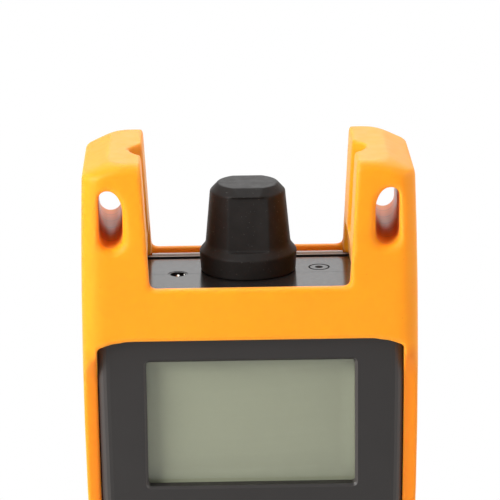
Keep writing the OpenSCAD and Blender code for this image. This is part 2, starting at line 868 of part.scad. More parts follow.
module rear_housing() {
    color("dimgray")
        difference() {
            union() {
                intersection() {
                    difference() {
                        house_form(0);
                        house_form(-shell_t);
                    }
                    seam_half(1);
                }
                bay_walls();
                for (place = screw_places)
                    rod_y(place[0], place[1], boss_r, seam / 2, door_y + sheet_t);
                bead();
            }
            translate([-bay_half, door_y - sheet_t, bay_z])
                cube([2 * bay_half, boot_d, bay_h]);
            both_sides()
                translate([tongue_x - tongue_w / 2 - door_gap, door_y - 2 * tongue_t - tongue_h, 0])
                    translate([0, 0, bay_z - tongue_h - door_gap])
                        cube([tongue_w + 2 * door_gap, 2 * tongue_t + tongue_h, 2 * tongue_h]);
            for (place = screw_places) {
                rod_y(place[0], place[1], screw_r + boot_gap, -boot_d, boot_d);
                rod_y(place[0], place[1], screw_head_r + boot_gap, back_y - sink_depth, boot_d);
            }
            translate([-inlet_x, 0, panel_z - shell_t - past])
                cylinder(r = inlet_hole_r, h = shell_t + 2 * past);
            translate([0, port_y, panel_z - shell_t - past])
                cylinder(r = port_r + seam / 2, h = shell_t + 2 * past);
            for (side = [-1, 1])
                translate([side * port_screw_x, port_y, panel_z - shell_t - past])
                    cylinder(r = port_screw_r, h = shell_t + 2 * past);
            translate([-drain_x, back_y - drain_y - drain_w, panel_z - drain_depth])
                cube([2 * drain_x, drain_w, shell_t]);
        }
}

// Display

module display_lens() {
    color("lightcyan")
        translate([0, 0, window_z])
            across_y(lens_y, glass_y)
                polygon(round_rect(window_w + 2 * lens_lap, window_h + 2 * lens_lap,
                    window_r + window_rim, corner_steps));
}

// Two glass plates: the front one reaches past the rear one and carries the contact ledges
module lcd_panel() {
    color("darkseagreen") {
        translate([-glass_w / 2, glass_y, window_z - glass_h / 2 - ledge_h])
            cube([glass_w, glass_t, glass_h + 2 * ledge_h]);
        translate([-glass_w / 2, rear_glass_y, window_z - glass_h / 2])
            cube([glass_w, glass_t, glass_h]);
    }
}

module lcd_backlight() {
    color("white")
        translate([-glass_w / 2, backlight_y, window_z - glass_h / 2])
            cube([glass_w, backlight_t, glass_h]);
}

module lcd_holder() {
    clear = seam;
    color("black")
        difference() {
            translate([-holder_w / 2, glass_y + seam, window_z - holder_h / 2])
                cube([holder_w, pcb_y - glass_y - seam, holder_h]);
            translate([-glass_w / 2 - clear, -boot_d, window_z - glass_h / 2 - ledge_h - clear])
                cube([glass_w + 2 * clear, 2 * boot_d, glass_h + 2 * ledge_h + 2 * clear]);
        }
}

module elastomer_strips() {
    color("hotpink")
        for (side = [-1, 1])
            translate([-window_w / 2, rear_glass_y, window_z + side * (glass_h + ledge_h) / 2 - strip_w / 2])
                cube([window_w, pcb_y - rear_glass_y, strip_w]);
}

// Keys

module key(place) {
    crown_y = front_y - key_rise;
    across_y(crown_y + key_crown, lip_y)
        key_outline(place, 0);
    across_y(crown_y, crown_y + key_crown)
        key_outline(place, -key_crown);
    across_y(lip_y, lip_y + key_lip_t)
        key_outline(place, key_lip);
    rod_y(place[0], place[1], plunger_d / 2, lip_y + key_lip_t, plunger_y);
}

module keypad_mat() {
    low = power_z - power_d * 3 / 4;
    top = key_up_z + key_h * 3 / 4;
    half = key_x + key_w / 2 + key_lip;
    hole = plunger_d / 2 + key_gap;
    color("darkgray")
        difference() {
            translate([-half, mat_y, low])
                cube([2 * half, mat_t, top - low]);
            for (place = KEY_PLACES)
                rod_y(place[0], place[1], hole, mat_y - past, mat_y + mat_t + past);
        }
}

module key_wavelength() {
    color("silver")
        key(KEY_PLACES[0]);
}

module key_modulation() {
    color("silver")
        key(KEY_PLACES[1]);
}

module key_backlight() {
    color("silver")
        key(KEY_PLACES[2]);
}

module key_visible() {
    color("silver")
        key(KEY_PLACES[3]);
}

module key_power() {
    color("firebrick")
        key(KEY_PLACES[4]);
}

module switch_domes() {
    color("gold")
        for (place = KEY_PLACES)
            translate([place[0], pcb_y, place[1]])
                rotate([90, 0, 0])
                    cylinder(d1 = dome_d, d2 = dome_d / 2, h = dome_h);
}

// Board

module main_pcb() {
    notch_z = pcb_top - board_notch_h;
    color("darkgreen")
        difference() {
            across_y(pcb_y, pcb_back)
                polygon([
                    [-board_w / 2, board_z],
                    [board_w / 2, board_z],
                    [board_w / 2, notch_z],
                    [board_neck_x, notch_z],
                    [board_neck_x, pcb_top],
                    [-board_neck_x, pcb_top],
                    [-board_neck_x, notch_z],
                    [-board_w / 2, notch_z]
                ]);
            for (place = post_places)
                rod_y(place[0], place[1], pcb_screw_r, -boot_d, boot_d);
        }
}

// Parts on the back of the board, each [x share, z share, width, height, thickness] in board sizes
PART_SHARES = [
    [0, 0.52, 0.17, 0.088, 0.85],
    [0.28, 0.55, 0.13, 0.045, 0.7],
    [-0.28, 0.6, 0.11, 0.06, 1.2],
    [0.27, 0.66, 0.09, 0.04, 1.1],
    [-0.12, 0.63, 0.05, 0.03, 0.6],
    [0.1, 0.65, 0.05, 0.03, 0.6],
    [0.31, 0.78, 0.08, 0.06, 0.9],
    [0.33, 0.86, 0.04, 0.03, 0.6]
];

module circuit_components() {
    board_h = pcb_top - board_z;
    color("black")
        for (share = PART_SHARES)
            translate([share[0] * board_w, pcb_back, board_z + share[1] * board_h])
                translate([-share[2] * board_w / 2, 0, -share[3] * board_h / 2])
                    cube([share[2] * board_w, share[4] * board_t, share[3] * board_h]);
}

// Optical port

module port_adapter() {
    color("gainsboro")
        translate([0, port_y, 0])
            difference() {
                union() {
                    translate([0, 0, block_top])
                        cylinder(r = port_r, h = port_top - block_top);
                    translate([0, 0, panel_z])
                        cylinder(r = flange_r, h = flange_t);
                }
                translate([0, 0, block_top - past])
                    cylinder(r = ferrule_r + sleeve_t, h = boot_h);
                translate([0, 0, port_top - socket_h])
                    cylinder(r = socket_r, h = socket_h + past);
                translate([-keyway_w / 2, -2 * port_r, port_top - keyway_h])
                    cube([keyway_w, 2 * port_r, keyway_h + past]);
                for (side = [-1, 1])
                    translate([side * port_screw_x, 0, panel_z - past])
                        cylinder(r = port_screw_r, h = flange_t + 2 * past);
            }
}

module ceramic_sleeve() {
    color("white")
        translate([0, port_y, sleeve_foot])
            difference() {
                cylinder(r = ferrule_r + sleeve_t, h = sleeve_h);
                translate([0, 0, -past])
                    cylinder(r = ferrule_r, h = sleeve_h + 2 * past);
                translate([-slit_w / 2, 0, -past])
                    cube([slit_w, port_r, sleeve_h + 2 * past]);
            }
}

// The fixed ferrule fills the port's bore, and its chamfered tip stands at the foot of the sleeve
module ferrule_stub() {
    straight_h = sleeve_foot - block_top - sleeve_t;
    color("whitesmoke")
        translate([0, port_y, block_top]) {
            cylinder(r = ferrule_r + sleeve_t, h = straight_h);
            translate([0, 0, straight_h])
                cylinder(r1 = ferrule_r + sleeve_t, r2 = ferrule_r, h = sleeve_t);
        }
}

// A block with a bored face for each laser diode
module optical_block() {
    mid_z = (block_top + block_foot) / 2;
    seat = diode_can_h + seam;
    color("silver")
        difference() {
            translate([-block_w / 2, port_y - block_d / 2, block_foot])
                cube([block_w, block_d, block_h]);
            for (side = [-1, 1])
                translate([side * (block_w / 2 + past), port_y, mid_z + side * diode_base_r])
                    rotate([0, -side * 90, 0])
                        cylinder(r = diode_can_r, h = seat + past);
            translate([0, port_y, block_foot - past])
                cylinder(r = diode_can_r, h = seat + past);
        }
}

// A laser diode with its base on the face z = 0, its can above and its leads below
module laser_diode() {
    cylinder(r = diode_can_r, h = diode_can_h);
    translate([0, 0, -diode_base_t])
        cylinder(r = diode_base_r, h = diode_base_t);
    for (i = [0:2])
        rotate([0, 0, 120 * i])
            translate([diode_can_r / 2, 0, -diode_base_t - lead_h])
                cylinder(r = lead_r, h = lead_h);
}

module laser_diode_short() {
    mid_z = (block_top + block_foot) / 2;
    color("goldenrod")
        translate([-block_w / 2, port_y, mid_z - diode_base_r])
            rotate([0, 90, 0])
                laser_diode();
}

module laser_diode_long() {
    mid_z = (block_top + block_foot) / 2;
    color("goldenrod")
        translate([block_w / 2, port_y, mid_z + diode_base_r])
            rotate([0, -90, 0])
                laser_diode();
}

module laser_diode_visible() {
    color("goldenrod")
        translate([0, port_y, block_foot])
            laser_diode();
}

// Dust cap

// Half outline of the cap: a collar with a sloping top, a tapered grip and a bevelled top
function cap_points() = [
    [0, 0],
    [cap_foot_r, 0],
    [cap_rim_r, cap_collar_h - cap_slope_h],
    [cap_grip_r + cap_slope_h / 4, cap_collar_h],
    [cap_grip_r, cap_collar_h + cap_slope_h / 2],
    [cap_neck_r, cap_h - cap_bevel_h],
    [cap_top_r, cap_h],
    [0, cap_h]
];

// What is cut away in front of the cap's axis: the bevel's straight part, and the sunk grip flat under it
function cap_flat_points() = [
    [-2 * cap_rim_r, cap_h + past],
    [-cap_face_y, cap_h + past],
    [-cap_face_y, cap_h],
    [-cap_ledge_y, cap_h - cap_bevel_h],
    [-cap_flat_top, cap_h - cap_bevel_h],
    [-cap_flat_low, cap_collar_h + cap_slope_h / 8],
    [-2 * cap_rim_r, cap_collar_h + cap_slope_h / 8]
];

module dust_cap() {
    hollow_r = port_r + cap_play;
    hollow_h = port_h + cap_play;
    wide_r = flange_r + cap_play;
    wide_h = flange_t + port_head_h + cap_play;
    color("black")
        translate([0, port_y, panel_z + cap_gap])
            difference() {
                rotate_extrude($fn = 96)
                    polygon(cap_points());
                translate([0, 0, -past])
                    cylinder(r = wide_r, h = wide_h + past);
                translate([0, 0, -past])
                    cylinder(r = hollow_r, h = hollow_h + past);
                for (side = [0, 180])
                    rotate([0, 0, side])
                        across_x(-cap_rim_r, cap_rim_r)
                            polygon(cap_flat_points());
            }
}

// Power inlet

module dc_jack_body() {
    color("black")
        translate([-inlet_x, 0, 0])
            difference() {
                union() {
                    translate([-inlet_w / 2, pcb_back, inlet_foot])
                        cube([inlet_w, inlet_w / 2 - pcb_back, inlet_h]);
                    translate([0, 0, inlet_foot])
                        cylinder(r = inlet_nose_r, h = inlet_mouth - inlet_foot);
                }
                translate([0, 0, inlet_mouth - inlet_depth])
                    cylinder(r = inlet_bore_r, h = inlet_depth + past);
            }
}

module dc_jack_pin() {
    pin_foot = inlet_mouth - inlet_depth;
    color("silver")
        translate([-inlet_x, 0, pin_foot]) {
            cylinder(r = inlet_pin_r, h = inlet_depth - inlet_drop - inlet_pin_r);
            translate([0, 0, inlet_depth - inlet_drop - inlet_pin_r])
                sphere(r = inlet_pin_r);
        }
}

// A sprung leaf against the right side of the bore
module dc_jack_contact() {
    inner = inlet_pin_r + 2 * leaf_t;
    edge = inlet_bore_r - leaf_t;
    foot = inlet_mouth - inlet_depth;
    color("gold")
        translate([-inlet_x, leaf_w / 2, 0])
            rotate([90, 0, 0])
                linear_extrude(leaf_w)
                    polygon([
                        [inner, foot],
                        [inner + leaf_t, foot],
                        [edge, inlet_mouth - inlet_drop],
                        [edge - leaf_t, inlet_mouth - inlet_drop]
                    ]);
}

// Battery bay

module battery_door() {
    half = bay_half - door_gap;
    latch_w = rib_w;
    rib_top = door_z + door_h - rib_pitch * 3;
    color("dimgray")
        difference() {
            union() {
                translate([-half, door_y, door_z + shell_t / 2])
                    cube([2 * half, shell_t, door_h - shell_t / 2]);
                translate([-half, door_y + shell_t / 2, door_z + shell_t / 2])
                    rotate([0, 90, 0])
                        cylinder(d = shell_t, h = 2 * half);
                for (side = [-1, 1])
                    translate([side * tongue_x - tongue_w / 2, 0, 0])
                        across_x(0, tongue_w)
                            polygon([
                                [door_y + sheet_t, door_z + tongue_h],
                                [door_y + sheet_t, door_z + shell_t / 2],
                                [door_y - tongue_t / 4, door_z],
                                [door_y - tongue_t / 4, door_z - tongue_h],
                                [door_y - tongue_t * 5 / 4, door_z - tongue_h],
                                [door_y - tongue_t * 5 / 4, door_z - tongue_h / 4]
                            ]);
            }
            for (i = [0:rib_n - 1])
                translate([0, 0, rib_top - rib_pitch * i])
                    across_y(back_y - rib_depth, boot_d)
                        translate([-latch_w / 2, 0])
                            square([latch_w, rib_pitch / 2]);
        }
}

module battery_cell(i) {
    up = i % 2 == 0;
    x = (i - 1) * (cell_d + cell_space);
    body_h = cell_h - cell_cap_h;
    color("royalblue")
        translate([x, cell_y, cell_z]) {
            translate([0, 0, up ? 0 : cell_cap_h])
                cylinder(d = cell_d, h = body_h);
            translate([0, 0, up ? body_h : 0])
                cylinder(d = cell_cap_d, h = cell_cap_h);
        }
}

module battery_cell_a() {
    battery_cell(0);
}

module battery_cell_b() {
    battery_cell(1);
}

module battery_cell_c() {
    battery_cell(2);
}

// Flat plates stand against the positive caps
module contact_plates() {
    pitch = cell_d + cell_space;
    color("silver")
        for (i = [0:2]) {
            up = i % 2 == 0;
            z = up ? bay_z + bay_h - contact_t : bay_z;
            translate([(i - 1) * pitch - contact_w / 2, cell_y - contact_w / 2, z])
                cube([contact_w, contact_w, contact_t]);
        }
}

// Bowed leaf springs press on the negative ends
module contact_springs() {
    pitch = cell_d + cell_space;
    rise = cell_z - bay_z;
    color("silver")
        for (i = [0:2]) {
            up = i % 2 == 0;
            translate([(i - 1) * pitch, cell_y, up ? bay_z : bay_z + bay_h])
                mirror([0, 0, up ? 0 : 1])
                    translate([0, contact_w / 2, 0])
                        rotate([90, 0, 0])
                            linear_extrude(contact_w)
                                polygon([
                                    [-contact_w / 2, 0],
                                    [contact_w / 2, 0],
                                    [contact_w / 2, contact_t],
                                    [contact_t - contact_w / 2, contact_t],
                                    [contact_w / 4, rise - contact_t],
                                    [contact_w / 4, rise],
                                    [0, rise],
                                    [-contact_w / 2, contact_t]
                                ]);
        }
}

// Screws

// A screw along Y with its head at y0 and its tip at y1 in front of it
module screw_y(place, head_y, tip_y, r, head_r, head_h) {
    rod_y(place[0], place[1], r, tip_y, head_y);
    difference() {
        rod_y(place[0], place[1], head_r, head_y, head_y + head_h);
        for (turn = [0, 90])
            translate([place[0], head_y + head_h, place[1]])
                rotate([0, turn, 0])
                    cube([head_r * 5 / 4, head_h, head_r / 4], center = true);
    }
}

module housing_screws() {
    color("silver")
        for (place = screw_places)
            screw_y(place, back_y - sink_depth, wall_y + shell_t, screw_r, screw_head_r, screw_head_h);
}

module pcb_screws() {
    color("silver")
        for (place = post_places)
            screw_y(place, pcb_back, wall_y + shell_t, pcb_screw_r, pcb_head_r, pcb_head_h);
}

module port_screws() {
    head_z = panel_z + flange_t;
    color("silver")
        for (side = [-1, 1])
            translate([side * port_screw_x, port_y, 0])
                difference() {
                    union() {
                        translate([0, 0, panel_z - 2 * shell_t])
                            cylinder(r = port_screw_r, h = flange_t + 2 * shell_t);
                        translate([0, 0, head_z])
                            cylinder(r = port_head_r, h = port_head_h);
                    }
                    for (turn = [0, 90])
                        translate([0, 0, head_z + port_head_h])
                            rotate([0, 0, turn])
                                cube([port_head_r * 5 / 4, port_head_r / 4, port_head_h], center = true);
                }
}

rubber_boot();
front_housing();
rear_housing();
display_lens();
lcd_panel();
lcd_backlight();
lcd_holder();
elastomer_strips();
keypad_mat();
key_wavelength();
key_modulation();
key_backlight();
key_visible();
key_power();
switch_domes();
main_pcb();
circuit_components();
port_adapter();
ceramic_sleeve();
ferrule_stub();
optical_block();
laser_diode_short();
laser_diode_long();
laser_diode_visible();
dust_cap();
dc_jack_body();
dc_jack_pin();
dc_jack_contact();
battery_door();
battery_cell_a();
battery_cell_b();
battery_cell_c();
contact_plates();
contact_springs();
housing_screws();
pcb_screws();
port_screws();
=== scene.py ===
import json
import math

import bpy
from mathutils import Matrix, Vector


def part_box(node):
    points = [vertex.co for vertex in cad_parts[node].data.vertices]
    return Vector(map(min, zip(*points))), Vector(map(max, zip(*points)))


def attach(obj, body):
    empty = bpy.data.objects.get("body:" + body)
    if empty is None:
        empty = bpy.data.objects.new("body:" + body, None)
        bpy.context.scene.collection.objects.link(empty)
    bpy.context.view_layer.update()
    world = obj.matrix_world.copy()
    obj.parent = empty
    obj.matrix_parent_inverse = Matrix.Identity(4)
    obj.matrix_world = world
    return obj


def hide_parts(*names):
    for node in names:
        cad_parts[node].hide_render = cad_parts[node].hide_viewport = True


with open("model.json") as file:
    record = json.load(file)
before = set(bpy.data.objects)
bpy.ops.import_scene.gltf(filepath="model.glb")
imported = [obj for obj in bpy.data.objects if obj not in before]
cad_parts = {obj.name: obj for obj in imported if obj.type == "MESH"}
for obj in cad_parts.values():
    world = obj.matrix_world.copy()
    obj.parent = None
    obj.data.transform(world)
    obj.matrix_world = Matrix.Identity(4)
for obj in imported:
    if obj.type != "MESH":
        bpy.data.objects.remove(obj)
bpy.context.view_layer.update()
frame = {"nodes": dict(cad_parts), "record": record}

bl_info = {
    "name": "Optical light source looks",
    "version": (1, 0, 0),
    "blender": (4, 5, 0),
    "location": "View3D > Sidebar > Light source",
    "description": "Gives the handheld optical light source its finishes, markings and studio",
    "category": "Object",
}

MM = 0.001
NODES = frame["nodes"]

# Spans of a noise's level: soft lumps, tighter lumps, and the few peaks that make dust and lint
LUMPS = (0.3, 0.7)
TIGHT_LUMPS = (0.35, 0.65)
DUST = (0.79, 0.81)
LINT = (0.765, 0.79)

# Radians that Blender's wave texture turns by for each unit of its vector
WAVE_TURN = 20


# Sizes read from the frame


def middle(node):
    """The middle of a CAD node's box, in metres."""
    low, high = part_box(node)
    return (low + high) / 2


PANEL_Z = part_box("front_housing")[1].z
HOUSE_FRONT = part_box("front_housing")[0].y
HOUSE_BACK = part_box("rear_housing")[1].y
PORT_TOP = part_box("port_adapter")[1].z
PORT_Y = middle("ceramic_sleeve").y


# Settings that the sidebar shows


def linear(code):
    """Turns an sRGB hex code such as #ff8800 into linear red, green, blue and alpha."""
    channels = [int(code[i:i + 2], 16) / 255 for i in (1, 3, 5)]
    return tuple(
        c / 12.92 if c <= 0.04045 else ((c + 0.055) / 1.055) ** 2.4 for c in channels
    ) + (1.0,)


def colour_property(name, description, code):
    """A colour, with its default as a hex code."""
    return bpy.props.FloatVectorProperty(
        name=name, description=description, subtype="COLOR", size=4, min=0, max=1,
        default=linear(code)
    )


def length_property(name, description, millimetres):
    """A length, with its default in millimetres."""
    return bpy.props.FloatProperty(
        name=name, description=description, subtype="DISTANCE", unit="LENGTH",
        min=0.0, precision=5, default=millimetres * MM
    )


def share_property(name, description, default):
    """A share or a roughness from 0 to 1."""
    return bpy.props.FloatProperty(
        name=name, description=description, subtype="FACTOR", min=0, max=1, default=default
    )


def power_property(name, description, watts):
    """The power of a lamp."""
    return bpy.props.FloatProperty(
        name=name, description=description, unit="POWER", min=0, default=watts
    )


# Nodes


def add_node(tree, kind, inputs=None, **settings):
    """Adds a node with its settings, and gives each named input a value or a link."""
    made = tree.nodes.new("ShaderNode" + kind)
    for name, value in settings.items():
        setattr(made, name, value)
    for name, value in (inputs or {}).items():
        if isinstance(value, bpy.types.NodeSocket):
            tree.links.new(value, made.inputs[name])
        else:
            made.inputs[name].default_value = value
    return made


def start_material(name, **shader):
    """A material with its Principled shader set to the values given, and the tree to add to."""
    material = bpy.data.materials.new(name)
    material.use_nodes = True
    tree = material.node_tree
    bsdf = tree.nodes["Principled BSDF"]
    for socket, value in shader.items():
        bsdf.inputs[socket.replace("_", " ")].default_value = value
    return material, tree, bsdf


def feed(tree, bsdf, **sockets):
    """Links an output to each of the shader's sockets named."""
    for socket, value in sockets.items():
        tree.links.new(value, bsdf.inputs[socket.replace("_", " ")])


def show_mixed(tree, factor, first, second):
    """Shows the first shader node where the factor is 0, the second where it is 1."""
    both = add_node(tree, "MixShader", {0: factor, 1: first.outputs[0], 2: second.outputs[0]})
    tree.links.new(both.outputs[0], tree.nodes["Material Output"].inputs["Surface"])


def maths(tree, operation, *values):
    """The outcome of a Math node on one to three values."""
    return add_node(tree, "Math", dict(enumerate(values)), operation=operation).outputs[0]


def vector_maths(tree, operation, *values):
    """The outcome of a Vector Math node: a number for a length, else a vector."""
    made = add_node(tree, "VectorMath", dict(enumerate(values)), operation=operation)
    return made.outputs["Value" if operation == "LENGTH" else "Vector"]


def shade(colour, factor):
    """The colour made darker or lighter by a factor."""
    return tuple(min(c * factor, 1.0) for c in colour[:3]) + (1.0,)


def place_of(tree):
    """The point's place on the object, in metres, the same in every pose."""
    return add_node(tree, "TexCoord").outputs["Object"]


def axes_of(tree):
    """The point's place as three outputs, X, Y and Z."""
    return add_node(tree, "SeparateXYZ", {"Vector": place_of(tree)}).outputs


def facing_of(tree):
    """The way that the flat face under the point looks, as three outputs, X, Y and Z."""
    normal = add_node(tree, "NewGeometry").outputs["True Normal"]
    return add_node(tree, "SeparateXYZ", {"Vector": normal}).outputs


def noise_of(tree, size_mm, detail=2.0):
    """Noise whose lumps are about size_mm across."""
    return add_node(tree, "TexNoise", {
        "Vector": place_of(tree), "Scale": 1 / (size_mm * MM), "Detail": detail, "Roughness": 0.5
    }).outputs["Fac"]


def between(tree, value, low, high, start=0.0, end=1.0):
    """Maps a value from low and high to start and end, and holds it there."""
    return add_node(tree, "MapRange", {
        "Value": value, "From Min": low, "From Max": high, "To Min": start, "To Max": end
    }).outputs["Result"]


def mixed(tree, factor, first, second):
    """The first colour where the factor is 0, the second where it is 1."""
    return add_node(tree, "Mix", {0: factor, 6: first, 7: second}, data_type="RGBA").outputs[2]


def blended(tree, factor, first, second):
    """The first number where the factor is 0, the second where it is 1."""
    return add_node(tree, "Mix", {0: factor, 2: first, 3: second}).outputs[0]


def mottled(tree, colour, size_mm, spread):
    """A colour that wanders a little over lumps of size_mm."""
    lumps = between(tree, noise_of(tree, size_mm, 3.0), *LUMPS)
    return mixed(tree, lumps, shade(colour, 1 - spread), shade(colour, 1 + spread))


def wandering(tree, size_mm, low, high):
    """A roughness that wanders between two levels over lumps of size_mm."""
    return between(tree, noise_of(tree, size_mm), *LUMPS, low, high)


def give_grain(tree, bsdf, size_mm, depth):
    """A moulded or blasted grain in the surface's normal, its depth in metres."""
    feed(tree, bsdf, Normal=add_node(tree, "Bump", {
        "Height": noise_of(tree, size_mm), "Distance": depth, "Strength": 1.0
    }).outputs["Normal"])


# Finishes


# How far the slots' walls reach from the middle of their opening's box, as shares of the box
SLOT_WIDTH_SHARE = 0.95
SLOT_HEIGHT_SHARE = 1.5


def inside_slots(tree):
    """1 on the walls of the two lanyard slots, 0 elsewhere on the boot."""
    low, high = next(
        opening["box_m"] for opening in frame["record"]["physics"]["openings"]
        if opening["name"] == "lanyard_slot_right"
    )
    axes = axes_of(tree)
    across = maths(
        tree, "COMPARE", maths(tree, "ABSOLUTE", axes["X"]),
        (low[0] + high[0]) / 2, (high[0] - low[0]) * SLOT_WIDTH_SHARE
    )
    height = maths(
        tree, "COMPARE", axes["Z"], (low[2] + high[2]) / 2, (high[2] - low[2]) * SLOT_HEIGHT_SHARE
    )
    forward = maths(tree, "ABSOLUTE", facing_of(tree)["Y"])
    wall = between(tree, forward, 0.5, 0.75, 1.0, 0.0)
    return maths(tree, "MULTIPLY", maths(tree, "MULTIPLY", across, height), wall)


# Where the painted shade on the rails fades, in mm: in from the boot's sides, back from its front
# and down from the panel, and what it keeps at the rails' outer edge
RAIL_IN = (3.8, 0.4)
RAIL_BACK = (0.1, 1.2)
RAIL_DOWN = (15.5, 12.5)
RAIL_OUTER_SHARE = 0.3


def rail_shade(tree):
    """Painted shade on the side rails' faces: 1 at their inner edge, less at the outer edge, else
    0.
    """
    low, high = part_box("rubber_boot")
    axes = axes_of(tree)
    share = between(
        tree, maths(tree, "ABSOLUTE", axes["X"]), *(high.x - step * MM for step in RAIL_IN),
        1.0, RAIL_OUTER_SHARE
    )
    for part in (
        between(tree, axes["Y"], *(low.y + step * MM for step in RAIL_BACK)),
        between(tree, axes["Z"], *(PANEL_Z - step * MM for step in RAIL_DOWN), 1.0, 0.0),
        between(tree, facing_of(tree)["Y"], -0.6, -0.2, 1.0, 0.0),
    ):
        share = maths(tree, "MULTIPLY", share, part)
    return share


# How far red, green and blue light travels in orange rubber, as shares of the bleed
BLEED_SHARES = (1.0, 0.25, 0.03)
# From front to back, where a slot's walls turn polished, in mm from the boot's middle
POLISH_FROM, POLISH_TO = -10, 2


def moulded_orange_rubber(look):
    """Soft moulded elastomer: a satin skin with fine grain, light that bleeds red in the grooves,
    edges made pale partly by wear and partly by a painted highlight, rails darkened by painted
    shade beside the dark shell, and slots as smooth as the steel cores that formed them."""
    material, tree, bsdf = start_material(
        "moulded_orange_rubber", IOR=1.5, Specular_IOR_Level=0.25, Subsurface_Weight=0.45,
        Subsurface_Scale=look.bleed, Subsurface_Radius=BLEED_SHARES, Sheen_Weight=0.3,
        Sheen_Roughness=0.3, Sheen_Tint=linear("#ffe4c8")
    )
    # Convex edges made paler, partly wear and partly a painted highlight where light catches them
    outward = add_node(tree, "NewGeometry").outputs["Pointiness"]
    rubbed = between(tree, outward, 0.51, 0.58, 0.0, look.highlight_and_wear)
    dirt = between(tree, noise_of(tree, look.grain / MM, 1.0), *DUST)
    slots = inside_slots(tree)
    ridges = add_node(tree, "TexWave", {
        "Vector": place_of(tree), "Scale": math.tau / WAVE_TURN / look.core_step,
        "Phase Offset": math.pi / 2
    }, wave_type="BANDS", bands_direction="Y").outputs["Fac"]
    lines = maths(tree, "MULTIPLY", between(tree, ridges, 0.98, 0.995), slots)
    skin = mottled(tree, look.colour, 14, 0.025)
    for factor, colour in (
        (rubbed, tuple(look.edge_highlight_colour)),
        (dirt, shade(look.colour, 0.35)),
        # Painted shade on the rails, darkest at their inner edge beside the housing
        (rail_shade(tree), tuple(look.rail_shade_colour)),
        (lines, shade(look.colour, 0.75)),
    ):
        skin = mixed(tree, factor, skin, colour)
    polish = between(
        tree, axes_of(tree)["Y"], POLISH_FROM * MM, POLISH_TO * MM, 0.85, look.core_roughness
    )
    level = blended(tree, slots, wandering(tree, 3, 0.46, 0.56), polish)
    feed(tree, bsdf, Base_Color=skin, Roughness=level)
    give_grain(tree, bsdf, look.grain / MM, 0.006 * MM)
    return material


# Where the panel's skin and its bead begin, in mm below the panel and before the housing's back
PANEL_SKIN = (0.6, 0.4)
BEAD = (2.3, 2.2)
# How far the panel's film and the walls' roughness wander
FILM_SPREAD = 0.06
WALL_SPREAD = 0.03


def textured_abs(look):
    """Dark ABS: spark textured on its walls, left smooth on the top panel, where it mirrors the
    room, with a painted highlight on its rounded sides, where the boot's lips sit, and along the
    bead behind the groove."""
    material, tree, bsdf = start_material(
        "textured_abs", IOR=1.5, Specular_IOR_Level=0.35, Coat_Roughness=0.16
    )
    axes, facing = axes_of(tree), facing_of(tree)
    at_panel = between(tree, axes["Z"], *(PANEL_Z - step * MM for step in PANEL_SKIN))
    smooth = maths(tree, "MULTIPLY", between(tree, facing["Z"], 0.8, 0.95), at_panel)
    film = between(
        tree, noise_of(tree, 0.9, 4.0), *TIGHT_LUMPS,
        look.panel_film - FILM_SPREAD, look.panel_film + FILM_SPREAD
    )
    # Painted highlight on the rounded sides, where light from the sides catches them
    side = between(tree, maths(tree, "ABSOLUTE", facing["X"]), 0.1, 0.6)
    # Painted highlight along the bead behind the groove, lifting it out of the rear wall's shade
    behind = between(tree, axes["Y"], *(HOUSE_BACK - step * MM for step in BEAD))
    bead = maths(tree, "MULTIPLY", behind, at_panel)
    skin = mottled(tree, look.colour, 9, 0.05)
    # Painted highlights on the rounded sides and along the bead
    skin = mixed(tree, side, skin, tuple(look.edge_highlight_colour))
    skin = mixed(tree, bead, skin, tuple(look.bead_highlight_colour))
    walls = wandering(
        tree, 2.5, look.wall_roughness - WALL_SPREAD, look.wall_roughness + WALL_SPREAD
    )
    feed(
        tree, bsdf, Base_Color=skin, Coat_Weight=maths(tree, "MULTIPLY", smooth, film),
        Roughness=blended(tree, smooth, walls, look.panel_roughness)
    )
    give_grain(tree, bsdf, 0.45, between(tree, smooth, 0.0, 1.0, look.grain_depth, 0.0))
    return material


def clear_acrylic():
    """Polished clear acrylic: it is seen only by its reflections, and the room's light passes
    straight through."""
    material, tree, bsdf = start_material(
        "clear_acrylic_window", IOR=1.49, Transmission_Weight=1.0, Roughness=0.0,
        Base_Color=linear("#fafbfa")
    )
    rays = add_node(tree, "LightPath").outputs
    lit = maths(tree, "MAXIMUM", rays["Is Shadow Ray"], rays["Is Diffuse Ray"])
    show_mixed(tree, lit, bsdf, add_node(tree, "BsdfTransparent"))
    return material


# How far the window laps behind its frame, and how wide the display's painted lit rim is, in mm
WINDOW_LAP = 2.2
RIM_WIDTH = 4


def reflective_lcd(look):
    """Reflective display glass: a grey green film with faint grain and dust, painted paler towards
    its seal to offset the shade of the window's recess."""
    material, tree, bsdf = start_material("reflective_lcd_glass", IOR=1.52, Roughness=0.3)
    low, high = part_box("display_lens")
    centre = middle("display_lens")
    axes = axes_of(tree)
    # Painted light along the display's edges, which offsets the shade of the window's recess
    reach = []
    for i, axis in ((0, "X"), (2, "Z")):
        half = (high[i] - low[i]) / 2 - WINDOW_LAP * MM
        away = maths(tree, "ABSOLUTE", maths(tree, "SUBTRACT", axes[axis], centre[i]))
        reach.append(between(tree, away, half - RIM_WIDTH * MM, half))
    lumps = between(tree, noise_of(tree, 0.5, 4.0), *TIGHT_LUMPS)
    film = mixed(tree, lumps, shade(look.colour, 0.98), shade(look.colour, 1.02))
    # Painted light at the rim
    film = mixed(tree, maths(tree, "MAXIMUM", *reach), film, shade(look.colour, 1.25))
    dust = between(tree, noise_of(tree, look.dust / MM, 1.0), *DUST)
    feed(tree, bsdf, Base_Color=mixed(tree, dust, film, linear("#c4c7bb")))
    return material


